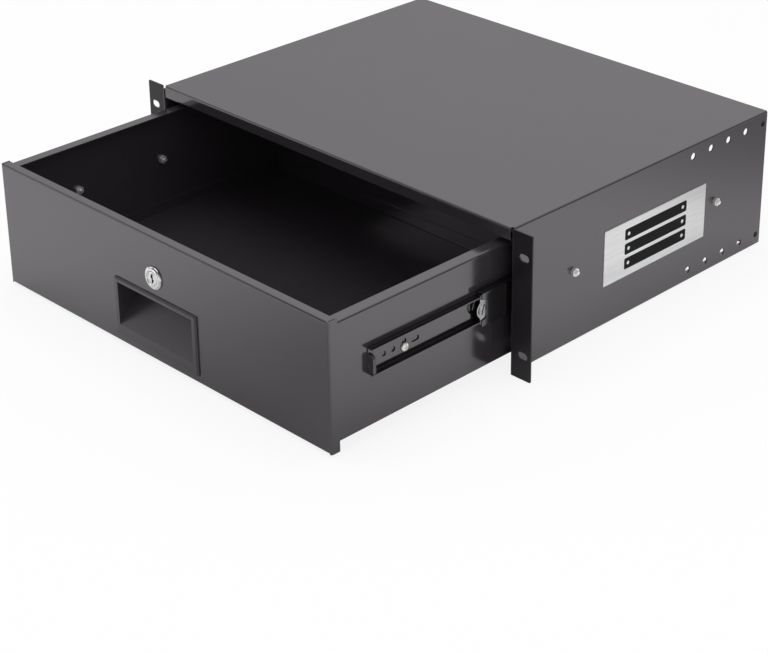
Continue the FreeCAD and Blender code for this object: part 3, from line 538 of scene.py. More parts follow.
@dataclass(frozen=True)
class PlatedSteel(Finish):
    """Plated steel: zinc, nickel or bare strip, with a fine satin, press waves and painted shade in
    crevices.
    """

    tint: Colour = (0.92, 0.91, 0.89, 1.0)
    gloss: float = 0.17
    stain: float = 0.2
    wave_size: float = 1.4 * MM
    wave_depth: float = 0.02 * MM
    metal: float = 0.72
    cloud_scale: float = 210.0
    stain_step: Step = (0.5, 0.5)
    crevice: float = 0.6 * MM
    crevice_shade_step: Step = (0.74, 0.3)
    crevice_shade_tone: Colour = grey(0.015)
    scratch_stretch: Triple = (2400, 300, 2400)
    scratch_depth: float = 0.003 * MM
    edge_tone: Colour = grey(0.85)
    edge_width: float = 0.2 * MM
    edge_round: float = 0.12 * MM

    def surface(self, bench: NodeBench) -> dict[str, object]:
        """Metal with patchy plate colour, tiny scratches, soft waves and painted shade in crevices,
        where it is also duller.

        Args:
            bench: Where the nodes are made.

        Returns:
            Values and signals of the surface shader's sockets.
        """
        place = bench.place()
        cloud = bench.noise(place, self.cloud_scale, 3.0)
        scratch = bench.noise(bench.place(self.scratch_stretch), 1.0)
        wave = bench.noise(place, 1 / self.wave_size, 1.0)
        # Crevices painted dark from an occlusion mask: painted shade; the metal is also duller
        # there.
        crevice_shade = bench.hollows(self.crevice).above(*self.crevice_shade_step)
        clean = cloud.above(*self.stain_step)
        tone = bench.blend(clean, dimmed(self.tint, 1 - self.stain), self.tint)
        tone = bench.blend(bench.edges(self.edge_width), tone, self.edge_tone)
        relief = wave + scratch * (self.scratch_depth / self.wave_depth)
        return {
            "Base Color": bench.blend(crevice_shade, tone, self.crevice_shade_tone),
            "Metallic": self.metal - self.metal * 0.8 * crevice_shade,
            "Roughness": self.gloss + 0.14 * cloud + 0.08 * scratch + 0.3 * crevice_shade,
            "Normal": bench.bump(relief, self.wave_depth, self.edge_round),
        }


@dataclass(frozen=True)
class MirrorPlate(Finish):
    """Bright chrome plate or polished steel with faint haze."""

    tint: Colour = (0.83, 0.83, 0.84, 1.0)
    gloss: float = 0.08
    haze_scale: float = 320.0
    haze_depth: float = 0.004 * MM
    pit_scale: float = 1500.0
    pit_size: float = 0.08
    pit_tone: Colour = grey(0.3)
    hollow_shade_reach: float = 1.6 * MM
    hollow_shade_step: Step = (0.62, 0.3)
    hollow_shade_tone: Colour = grey(0.012)
    edge_round: float = 0.15 * MM

    def surface(self, bench: NodeBench) -> dict[str, object]:
        """Bright metal whose haze varies softly, with painted shade in its hollows.

        Args:
            bench: Where the nodes are made.

        Returns:
            Values and signals of the surface shader's sockets.
        """
        place = bench.place()
        haze = bench.noise(place, self.haze_scale, 3.0)
        pits = bench.specks(place, self.pit_scale, self.pit_size)
        # Hollows painted dark from an occlusion mask: painted shade.
        hollow_shade = bench.hollows(self.hollow_shade_reach).above(*self.hollow_shade_step)
        tone = bench.blend(pits * 0.4, self.tint, self.pit_tone)
        return {
            "Base Color": bench.blend(hollow_shade, tone, self.hollow_shade_tone),
            "Metallic": 1.0,
            "Roughness": self.gloss + 0.09 * haze + 0.2 * pits,
            "Normal": bench.bump(haze, self.haze_depth, self.edge_round),
        }


@dataclass(frozen=True)
class BrushedSheet(Finish):
    """Aluminium sheet brushed along its length."""

    tint: Colour = (0.88, 0.88, 0.89, 1.0)
    gloss: float = 0.3
    fine_stretch: Triple = (3000, 55, 3000)
    broad_stretch: Triple = (520, 11, 520)
    line_step: Step = (0.5, 0.5)
    line_dark: float = 0.82
    line_depth: float = 0.01 * MM
    edge_round: float = 0.15 * MM

    def surface(self, bench: NodeBench) -> dict[str, object]:
        """Long fine brush lines along Y in tone, gloss and relief.

        Args:
            bench: Where the nodes are made.

        Returns:
            Values and signals of the surface shader's sockets.
        """
        fine = bench.noise(bench.place(self.fine_stretch), 1.0)
        broad = bench.noise(bench.place(self.broad_stretch), 1.0)
        line = fine * 0.6 + broad * 0.4
        return {
            "Base Color": bench.blend(line.above(*self.line_step),
                                      dimmed(self.tint, self.line_dark), self.tint),
            "Metallic": 0.85,
            "Roughness": self.gloss + 0.22 * line,
            "Normal": bench.bump(line, self.line_depth, self.edge_round),
        }


@dataclass(frozen=True)
class Moulded(Finish):
    """Black moulded plastic with a fine spark-eroded grain."""

    shade: float = 0.03
    gloss: float = 0.27
    grain_size: float = 0.35 * MM
    grain_depth: float = 0.008 * MM
    cloud_scale: float = 30.0
    edge_width: float = 0.6 * MM
    edge_round: float = 0.3 * MM

    def surface(self, bench: NodeBench) -> dict[str, object]:
        """Dark plastic, grained, shinier where hands rub the edges, which are also painted lighter
        as a highlight.

        Args:
            bench: Where the nodes are made.

        Returns:
            Values and signals of the surface shader's sockets.
        """
        place = bench.place()
        grain = bench.noise(place, 1 / self.grain_size)
        cloud = bench.noise(place, self.cloud_scale)
        edge = bench.edges(self.edge_width)
        tone = bench.blend(cloud, violet(self.shade * 0.85), violet(self.shade * 1.15))
        # Edges are painted lighter: rubbed wear and a painted highlight.
        return {
            "Base Color": bench.blend(edge * 1.5, tone, violet(self.shade * 4)),
            "Roughness": self.gloss + 0.12 * grain + 0.06 * cloud - 0.3 * edge,
            "Specular IOR Level": 1.0,
            "Specular Tint": BLACK_SHEEN,
            "Normal": bench.bump(grain, self.grain_depth, self.edge_round),
        }


@dataclass(frozen=True)
class InkBlack(Finish):
    """Screen-printed black ink, satin, with the faint weave of its screen."""

    shade: float = 0.009
    weave_scale: float = 1900.0
    weave_depth: float = 0.004 * MM

    def surface(self, bench: NodeBench) -> dict[str, object]:
        """Flat ink with a faint mesh of the printing screen.

        Args:
            bench: Where the nodes are made.

        Returns:
            Values and signals of the surface shader's sockets.
        """
        weave = bench.noise(bench.place(), self.weave_scale, 1.0)
        return {
            "Base Color": bench.blend(weave, grey(self.shade * 0.7), grey(self.shade * 1.5)),
            "Roughness": 0.55 + 0.12 * weave,
            "Specular IOR Level": 0.1,
            "Normal": bench.bump(weave, self.weave_depth),
        }


class Coat(Enum):
    """Every finish of the rack drawer."""

    POWDER = PowderCoat("powder coat black")
    CASE = CaseCoat("case powder coat")
    SLIDE = SlideBlack("slide electro-coat")
    SCREW_BLACK = SlideBlack("black screw finish", 0.004, 0.35, 0.1, 1.5)
    ZINC = PlatedSteel("bright zinc plate")
    STRIP = PlatedSteel("cage strip steel", (0.6, 0.6, 0.61, 1.0), 0.14, 0.3, 1.5 * MM,
                        0.12 * MM, 1.0)
    NICKEL = PlatedSteel("key nickel", (0.68, 0.66, 0.62, 1.0), 0.18, 0.18, 2.5 * MM,
                         0.01 * MM, 0.95)
    BALL = MirrorPlate("polished ball steel", (0.78, 0.78, 0.8, 1.0), 0.05)
    CHROME = MirrorPlate("lock chrome")
    BRUSHED = BrushedSheet("brushed size plate")
    INK = InkBlack("printed ink")
    PLASTIC = Moulded("handle plastic")
    KEY_GRIP = Moulded("key grip plastic", 0.011, 0.24, 0.5 * MM)


class Paintbox:
    """Builds each finish's material once and puts it on pieces."""

    def __init__(self) -> None:
        """Starts with no materials."""
        self._made: dict[Coat, bpy.types.Material] = {}

    def paint(self, piece: bpy.types.Object, coat: Coat) -> None:
        """Gives a piece one finish.

        Args:
            piece: A mesh object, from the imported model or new.
            coat: The finish.
        """
        if coat not in self._made:
            self._made[coat] = coat.value.material()
        material = self._made[coat]
        if not piece.material_slots:
            piece.data.materials.append(material)
        for slot in piece.material_slots:
            slot.material = material


# ---- mesh making ------------------------------------------------------------------------------
def aim_frame(origin: Vector, along: Vector, up: Vector = Vector((0, 0, 1))) -> Matrix:
    """Local frame of a piece drawn along its own Z.

    Args:
        origin: Where the local origin lies.
        along: Direction of local Z.
        up: Direction that local Y comes nearest to.

    Returns:
        Matrix from the local to the rack frame.
    """
    z_axis = along.normalized()
    x_axis = up.cross(z_axis).normalized()
    turn = Matrix((x_axis, z_axis.cross(x_axis), z_axis)).transposed()
    return Matrix.Translation(origin) @ turn.to_4x4()


def shift(x: float = 0.0, y: float = 0.0, z: float = 0.0) -> Matrix:
    """Matrix of a move."""
    return Matrix.Translation((x, y, z))


def circle(radius: float, centre: tuple[float, float] = (0, 0),
           count: int = 32) -> list[tuple[float, float]]:
    """Outline of a circle as (x, y) points."""
    return [(centre[0] + radius * math.cos(math.tau * step / count),
             centre[1] + radius * math.sin(math.tau * step / count)) for step in range(count)]


def rounded_rectangle(width: float, height: float, radius: float,
                      steps: int = 5) -> list[tuple[float, float]]:
    """Outline of a rectangle with round corners.

    Args:
        width: Size along X.
        height: Size along Y.
        radius: Corner radius.
        steps: Points in each corner.

    Returns:
        The outline, centred.
    """
    points = []
    for quarter, (side_x, side_y) in enumerate(SQUARE):
        centre_x = side_x * (width / 2 - radius)
        centre_y = side_y * (height / 2 - radius)
        for step in range(steps + 1):
            turn = math.pi / 2 * (quarter + step / steps)
            points.append((centre_x + radius * math.cos(turn),
                           centre_y + radius * math.sin(turn)))
    return points


def level_circle(radius: float, level: float, count: int) -> Ring:
    """Ring of points round local Z."""
    return [Vector((x, y, level)) for x, y in circle(radius, count=count)]


def level_square(half_x: float, half_y: float, level: float, x: float = 0.0,
                 y: float = 0.0) -> Ring:
    """Ring of a rectangle's corners, centred on x and y."""
    return [Vector((x + side_x * half_x, y + side_y * half_y, level))
            for side_x, side_y in SQUARE]


class Workshop:
    """Mesh-making steps that the sub-assemblies share."""

    smooth_angle = math.radians(33)
    rim_angle = math.radians(60)
    weld_gap = 1e-6

    @classmethod
    def _smooth(cls, mesh: bpy.types.Mesh) -> None:
        """Shades a mesh smooth up to the shop's angle."""
        mesh.shade_smooth()
        mesh.set_sharp_from_angle(angle=cls.smooth_angle)

    @classmethod
    def _piece(cls, name: str, shape: bmesh.types.BMesh, frame: Matrix) -> bpy.types.Object:
        """Turns a bmesh into a smooth-shaded object of the scene.

        Args:
            name: Name of the piece.
            shape: Its shape, which is used up.
            frame: Where the piece goes.

        Returns:
            The new piece.
        """
        mesh = bpy.data.meshes.new(name)
        shape.to_mesh(mesh)
        shape.free()
        mesh.transform(frame)
        cls._smooth(mesh)
        piece = bpy.data.objects.new(name, mesh)
        bpy.context.scene.collection.objects.link(piece)
        return piece

    @classmethod
    def loft(cls, name: str, rings: Sequence[Ring], frame: Matrix,
             closed_loop: bool = False) -> bpy.types.Object:
        """Skin over a row of rings.

        Args:
            name: Name of the piece.
            rings: Rings of equally many points, in order.
            frame: Where the piece goes.
            closed_loop: Whether the last ring joins the first, as in a nut or a ring.

        Returns:
            The new piece; open rows get flat ends.
        """
        shape = bmesh.new()
        rows = [[shape.verts.new(point) for point in ring] for ring in rings]
        pairs = list(zip(rows, rows[1:]))
        if closed_loop:
            pairs.append((rows[-1], rows[0]))
        count = len(rows[0])
        for near, far in pairs:
            for index in range(count):
                following = (index + 1) % count
                shape.faces.new((near[index], near[following], far[following], far[index]))
        if not closed_loop:
            shape.faces.new(rows[0])
            shape.faces.new(rows[-1][::-1])
        bmesh.ops.recalc_face_normals(shape, faces=shape.faces)
        return cls._piece(name, shape, frame)

    @classmethod
    def turned(cls, name: str, profile: Outline, frame: Matrix, hollow: bool = False,
               segments: int = 64) -> bpy.types.Object:
        """Turned piece.

        Args:
            name: Name of the piece.
            profile: Radius and height of each corner along the outside, in metres.
            frame: Where the piece goes; local Z is its axis.
            hollow: Whether the profile is closed round a bore.
            segments: Number of sides.

        Returns:
            The new piece.
        """
        rings = [level_circle(radius, height, segments) for radius, height in profile]
        return cls.loft(name, rings, frame, hollow)

    @classmethod
    def slab(cls, name: str, outline: Outline, thickness: float, bevel: float,
             frame: Matrix, holes: Sequence[Outline] = ()) -> bpy.types.Object:
        """Flat piece with softened edges.

        Args:
            name: Name of the piece.
            outline: Closed outline in local X and Y, in metres.
            thickness: Its thickness along local Z.
            bevel: Width of the edge rounding.
            frame: Where the piece goes.
            holes: Outlines of through holes.

        Returns:
            The new piece.
        """
        shape = bmesh.new()
        edges = []
        for loop in (outline, *holes):
            points = [shape.verts.new((x, y, 0)) for x, y in loop]
            edges += [shape.edges.new((points[index - 1], points[index]))
                      for index in range(len(points))]
        bmesh.ops.triangle_fill(shape, use_beauty=True, use_dissolve=True, edges=edges)
        grown = bmesh.ops.extrude_face_region(shape, geom=list(shape.faces))
        top = [item for item in grown["geom"] if isinstance(item, bmesh.types.BMVert)]
        bmesh.ops.translate(shape, verts=top, vec=(0, 0, thickness))
        bmesh.ops.recalc_face_normals(shape, faces=shape.faces)
        if bevel > 0:
            rims = [edge for edge in shape.edges
                    if len(edge.link_faces) == 2 and edge.calc_face_angle() > cls.rim_angle
                    and abs(edge.verts[0].co.z - edge.verts[1].co.z) < thickness / 2]
            bmesh.ops.bevel(shape, geom=rims, offset=bevel, segments=2, profile=0.5,
                            affect="EDGES", clamp_overlap=True)
        bmesh.ops.recalc_face_normals(shape, faces=shape.faces)
        return cls._piece(name, shape, frame)

    @classmethod
    def cut(cls, piece: bpy.types.Object, tools: Sequence[bpy.types.Object]) -> bpy.types.Object:
        """Cuts tools out of a piece.

        Args:
            piece: The piece.
            tools: Objects that are cut away from it and removed.

        Returns:
            The same piece with its new mesh.
        """
        for tool in tools:
            step = piece.modifiers.new("shape", "BOOLEAN")
            step.operation = "DIFFERENCE"
            step.solver = "EXACT"
            step.object = tool
        graph = bpy.context.evaluated_depsgraph_get()
        made = bpy.data.meshes.new_from_object(piece.evaluated_get(graph))
        piece.modifiers.clear()
        piece.data = made
        cls._smooth(made)
        for tool in tools:
            bpy.data.objects.remove(tool)
        return piece

    @classmethod
    def merge(cls, name: str, pieces: Sequence[bpy.types.Object]) -> bpy.types.Object:
        """Puts several meshes into one object.

        Args:
            name: Name of the result.
            pieces: Objects that are used up.

        Returns:
            The one object.
        """
        shape = bmesh.new()
        for piece in pieces:
            shape.from_mesh(piece.data)
            bpy.data.objects.remove(piece)
        return cls._piece(name, shape, Matrix())

    @classmethod
    def solid_boxes(cls, node: bpy.types.Object) -> list[tuple[Vector, Vector]]:
        """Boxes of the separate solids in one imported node.

        Args:
            node: The node's object.

        Returns:
            Lowest and highest corner of each solid.
        """
        shape = bmesh.new()
        shape.from_mesh(node.data)
        bmesh.ops.remove_doubles(shape, verts=shape.verts, dist=cls.weld_gap)
        left = set(shape.verts)
        boxes = []
        for seed in shape.verts:
            if seed not in left:
                continue
            group = {seed}
            front = [seed]
            while front:
                corner = front.pop()
                for edge in corner.link_edges:
                    other = edge.other_vert(corner)
                    if other not in group:
                        group.add(other)
                        front.append(other)
            left -= group
            low = Vector([min(corner.co[axis] for corner in group) for axis in range(3)])
            high = Vector([max(corner.co[axis] for corner in group) for axis in range(3)])
            boxes.append((low, high))
        shape.free()
        return boxes


# ---- fasteners --------------------------------------------------------------------------------
@dataclass(frozen=True)
class Thread:
    """Screw thread on a plain end, drawn along local Z."""

    radius: float
    pitch: float = 0.7 * MM
    depth_share: float = 0.55
    end_share: float = 0.45
    end_slope: float = 0.9
    segments: int = 36
    steps_per_turn: int = 6

    def build(self, start: float, end: float, frame: Matrix) -> bpy.types.Object:
        """Makes the threaded bar.

        Args:
            start: Where the thread starts along local Z.
            end: Where it ends, with a small chamfer.
            frame: Where the piece goes.

        Returns:
            The new piece.
        """
        depth = self.depth_share * self.pitch
        count = max(2, math.ceil((end - start) / self.pitch * self.steps_per_turn))
        rings = []
        for row in range(count + 1):
            height = start + (end - start) * row / count
            chamfer = self.radius - self.end_share * self.pitch + (end - height) * self.end_slope
            ring = []
            for step in range(self.segments):
                turn = step / self.segments
                phase = (height / self.pitch - turn) % 1.0
                radius = min(self.radius - depth * abs(2 * phase - 1), chamfer)
                ring.append(Vector((radius * math.cos(math.tau * turn),
                                    radius * math.sin(math.tau * turn), height)))
            rings.append(ring)
        return Workshop.loft("thread", rings, frame)


@dataclass(frozen=True)
class HexNut:
    """Hexagon nut with chamfered corners and a countersunk bore, drawn along local Z."""

    flats: float
    thickness: float
    bore: float
    face_share: float = 0.97
    chamfer: float = 28.0
    lip: float = 0.35 * MM
    segments: int = 48

    def _corners(self, level: float, sign: int) -> Ring:
        """Outside of the hexagon at one face, where the chamfer takes the corners off.

        Args:
            level: Height of the face.
            sign: -1 at the near face and 1 at the far one.

        Returns:
            The ring of points.
        """
        inner = self.flats / 2
        ring = []
        for step in range(self.segments):
            turn = math.tau * step / self.segments
            around = (turn + math.pi / 6) % (math.pi / 3) - math.pi / 6
            radius = inner / math.cos(around)
            drop = (radius - inner * self.face_share) * math.tan(math.radians(self.chamfer))
            ring.append(Vector((radius * math.cos(turn), radius * math.sin(turn),
                                level - sign * drop)))
        return ring

    def build(self, name: str, frame: Matrix) -> bpy.types.Object:
        """Makes the nut with its near face at local zero.

        Args:
            name: Name of the piece.
            frame: Where the piece goes.

        Returns:
            The new piece.
        """
        rings: list[Ring] = []
        for sign, level in ((-1, 0.0), (1, self.thickness)):
            side = [level_circle(self.bore, level - sign * self.lip, self.segments),
                    level_circle(self.bore + self.lip, level, self.segments),
                    level_circle(self.flats / 2 * self.face_share, level, self.segments),
                    self._corners(level, sign)]
            rings += side if sign < 0 else side[::-1]
        return Workshop.loft(name, rings, frame, closed_loop=True)


class Head(Enum):
    """Screw head shapes, each with its flat top's share of the radius."""

    PAN = 0.45
    WAFER = 0.9
    COUNTERSUNK = 0.96


@dataclass(frozen=True)
class CrossScrew:
    """Screw head with a cross recess, drawn with its seat at local zero and its top along +Z.

    The crown is a row of shares: of the height, and of the way in from the head's side.
    """

    head: Head
    radius: float
    height: float
    recess: float
    crown: Outline = ((0.35, 0.0), (0.62, 0.18), (0.82, 0.42), (0.94, 0.72), (1.0, 0.9))
    centre: float = 0.3 * MM
    arm_share: float = 0.3
    recess_sink: float = 0.32
    recess_clear: float = 0.2 * MM
    recess_taper: Step = (1.05, 0.72)

    def _profile(self) -> list[tuple[float, float]]:
        """Outside of the head, from its seat to its top.

        Returns:
            Radius and height of each corner.
        """
        flat = self.head.value
        if self.head is Head.COUNTERSUNK:
            return [(self.radius * 0.55, -self.height), (self.radius * 0.98, -0.12 * MM),
                    (self.radius, -0.02 * MM), (self.radius * flat, 0.0),
                    (self.centre, 0.02 * MM)]
        sides = [(self.radius * (1 - (1 - flat) * inward * up ** 2), self.height * up)
                 for up, inward in self.crown]
        return [(self.radius, 0.0), *sides, (self.radius * flat * 0.6, self.height * 0.99),
                (self.centre, self.height)]

    def build(self, frame: Matrix) -> bpy.types.Object:
        """Makes the head with its cross recess.

        Args:
            frame: Where the piece goes.

        Returns:
            The new piece.
        """
        head = Workshop.turned("head", self._profile(), frame, segments=48)
        top = 0.0 if self.head is Head.COUNTERSUNK else self.height
        levels = (top + self.recess_clear, top - self.recess * self.recess_sink)
        arm = self.recess * self.arm_share
        tools = []
        for width, length in ((arm, self.recess), (self.recess, arm)):
            rings = [level_square(width * share, length * share, level)
                     for level, share in zip(levels, self.recess_taper)]
            tools.append(Workshop.loft("recess", rings, frame))
        return Workshop.cut(head, tools)


# ---- sub-assemblies ---------------------------------------------------------------------------
@dataclass
class SubAssembly:
    """A group of pieces that is dressed together."""

    nodes: Mapping[str, bpy.types.Object]
    paints: Paintbox

    def dress(self) -> None:
        """Builds and paints the group's pieces."""
        raise NotImplementedError

    def keep(self, coat: Coat, *names: str) -> None:
        """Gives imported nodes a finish.

        Args:
            coat: The finish.
            *names: Names of nodes that stay visible.
        """
        for name in names:
            self.paints.paint(self.nodes[name], coat)
            LOG.info("kept %s in %s", name, coat.value.name)

    def add(self, piece: bpy.types.Object, body: str, coat: Coat, slot: str,
            *stands_for: str) -> None:
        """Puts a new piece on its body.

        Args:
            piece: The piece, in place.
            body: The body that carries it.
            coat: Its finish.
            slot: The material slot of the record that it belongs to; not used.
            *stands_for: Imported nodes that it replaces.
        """
        self.paints.paint(piece, coat)
        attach(piece, body)
        if stands_for:
            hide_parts(*stands_for)
        LOG.info("made %s on %s: %d faces", piece.name, body, len(piece.data.polygons))

    def axes(self, node: str, outward: int) -> list[tuple[Vector, Vector, float]]:
        """Axes of a node's bolts, nuts or screws, which all lie along X.

        Args:
            node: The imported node.
            outward: 1 where they point away from the rack's middle, -1 towards it.

        Returns:
            Middle, direction and length of each.
        """
        found = []
        for low, high in Workshop.solid_boxes(self.nodes[node]):
            centre = (low + high) / 2
            direction = Vector((math.copysign(1, centre.x) * outward, 0, 0))
            found.append((centre, direction, high.x - low.x))
        return found


@dataclass
class SlideFasteners(SubAssembly):
    """Bolts, screws and nuts that hold the ball slides to the case and to the drawer."""

    bolt_radius: float = 2.0 * MM
    thread_play: float = 0.02 * MM
    nut_flats: float = 7.0 * MM
    bolt_head: CrossScrew = CrossScrew(Head.WAFER, 4.2 * MM, 1.0 * MM, 2.2 * MM)
    screw_head: CrossScrew = CrossScrew(Head.PAN, 3.9 * MM, 2.0 * MM, 2.1 * MM)

    def _nuts(self, node: str, body: str, outward: int) -> None:
        """Replaces one node of nuts.

        Args:
            node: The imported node.
            body: The body that carries it.
            outward: 1 where a nut's free face looks away from the middle, -1 towards it.
        """
        made = []
        for centre, direction, length in self.axes(node, outward):
            nut = HexNut(self.nut_flats, length, self.bolt_radius)
            made.append(nut.build("nut", aim_frame(centre - direction * length / 2, direction)))
        self.add(Workshop.merge(node + "_fine", made), body, Coat.ZINC, "zinc_steel", node)

    def _bolts(self, node: str, body: str, outward: int, head: CrossScrew) -> None:
        """Replaces one node of bolts or screws.

        Args:
            node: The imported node.
            body: The body that carries it.
            outward: 1 where the threaded end looks away from the middle, -1 towards it.
            head: The head's shape.
        """
        made = []
        thread = Thread(self.bolt_radius - self.thread_play)
        for centre, direction, length in self.axes(node, outward):
            seat = centre - direction * (length / 2 - head.height)
            made.append(head.build(aim_frame(seat, -direction)))
            made.append(thread.build(0.0, length - head.height, aim_frame(seat, direction)))
        self.add(Workshop.merge(node + "_fine", made), body, Coat.ZINC, "zinc_steel", node)

    def dress(self) -> None:
        """Replaces all four sets of slide fasteners."""
        self._nuts("case_slide_nuts", "case", 1)
        self._nuts("drawer_slide_nuts", "drawer", -1)
        self._bolts("case_slide_bolts", "case", 1, self.bolt_head)
        self._bolts("drawer_slide_screws", "drawer", -1, self.screw_head)


@dataclass
class RackCase(SubAssembly):
    """Folded case with its braces, their screws and the size plate."""

    screw: CrossScrew = CrossScrew(Head.COUNTERSUNK, 2.8 * MM, 1.2 * MM, 1.7 * MM)
    screw_thread: Thread = Thread(1.5 * MM, 0.5 * MM)
    plate_corner: float = 0.8 * MM
    plate_bevel: float = 0.12 * MM
    ink_rise: float = 0.02 * MM
    ink_thickness: float = 0.03 * MM
    unit_width: float = 84 * MM
    unit_height: float = 10.5 * MM
    unit_corner: float = 1.6 * MM
    unit_pitch: float = 13.8 * MM
    unit_hole: float = 1.7 * MM
    unit_hole_inset: float = 5.2 * MM

    def _brace_screws(self) -> None:
        """Countersunk black screws through the sides."""
        made = []
        for centre, outward, length in self.axes("brace_screws", 1):
            face = centre + outward * length / 2
            made.append(self.screw.build(aim_frame(face, outward)))
            made.append(self.screw_thread.build(self.screw.height, length,
                                                aim_frame(face, -outward)))
        self.add(Workshop.merge("brace_screws_fine", made), "case", Coat.SCREW_BLACK,
                 "slide_black", "brace_screws")

    def _size_plate(self) -> None:
        """Brushed plate with a printed sign of three stacked rack units."""
        low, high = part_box("size_plate")
        middle = (low + high) / 2
        face = aim_frame(Vector((low.x, middle.y, middle.z)), Vector((1, 0, 0)))
        outline = rounded_rectangle(high.y - low.y, high.z - low.z, self.plate_corner)
        plate = Workshop.slab("size_plate_fine", outline, high.x - low.x - self.ink_rise,
                              self.plate_bevel, face)
        self.add(plate, "case", Coat.BRUSHED, "plate_metal", "size_plate")
        print_face = face @ shift(z=high.x - low.x - self.ink_thickness)
        unit = rounded_rectangle(self.unit_width, self.unit_height, self.unit_corner)
        reach = self.unit_width / 2 - self.unit_hole_inset
        holes = [circle(self.unit_hole, (side * reach, 0), 20) for side in (-1, 1)]
        signs = [Workshop.slab("unit_sign", unit, self.ink_thickness, 0,
                               print_face @ shift(y=row * self.unit_pitch), holes)
                 for row in (-1, 0, 1)]
        self.add(Workshop.merge("size_plate_sign", signs), "case", Coat.INK, "plate_metal")

    def dress(self) -> None:
        """Paints the sheet metal, then makes the screws and the plate."""
        self.keep(Coat.CASE, "case_shell")
        self.keep(Coat.POWDER, "rear_top_brace", "rear_bottom_brace")
        self._brace_screws()
        self._size_plate()


@dataclass
class BallSlides(SubAssembly):
    """Three-section slides on both sides."""

    sides: tuple[str, ...] = ("left", "right")

    def dress(self) -> None:
        """Paints members, cages, balls and bumpers."""
        for side in self.sides:
            self.keep(Coat.SLIDE, f"slide_outer_{side}", f"slide_middle_{side}",
                      f"slide_inner_{side}")
            self.keep(Coat.STRIP, f"outer_cage_{side}", f"inner_cage_{side}")
            self.keep(Coat.BALL, f"outer_balls_{side}", f"inner_balls_{side}")
            self.keep(Coat.PLASTIC, f"slide_end_cap_{side}")


@dataclass
class DrawerBox(SubAssembly):
    """Drawer front, sides, floor, back and handle."""

    sheets: tuple[str, ...] = ("drawer_wrap", "drawer_floor", "drawer_back")

    def dress(self) -> None:
        """Paints the sheet metal and the handle."""
        self.keep(Coat.POWDER, *self.sheets)
        self.keep(Coat.PLASTIC, "handle_cup")


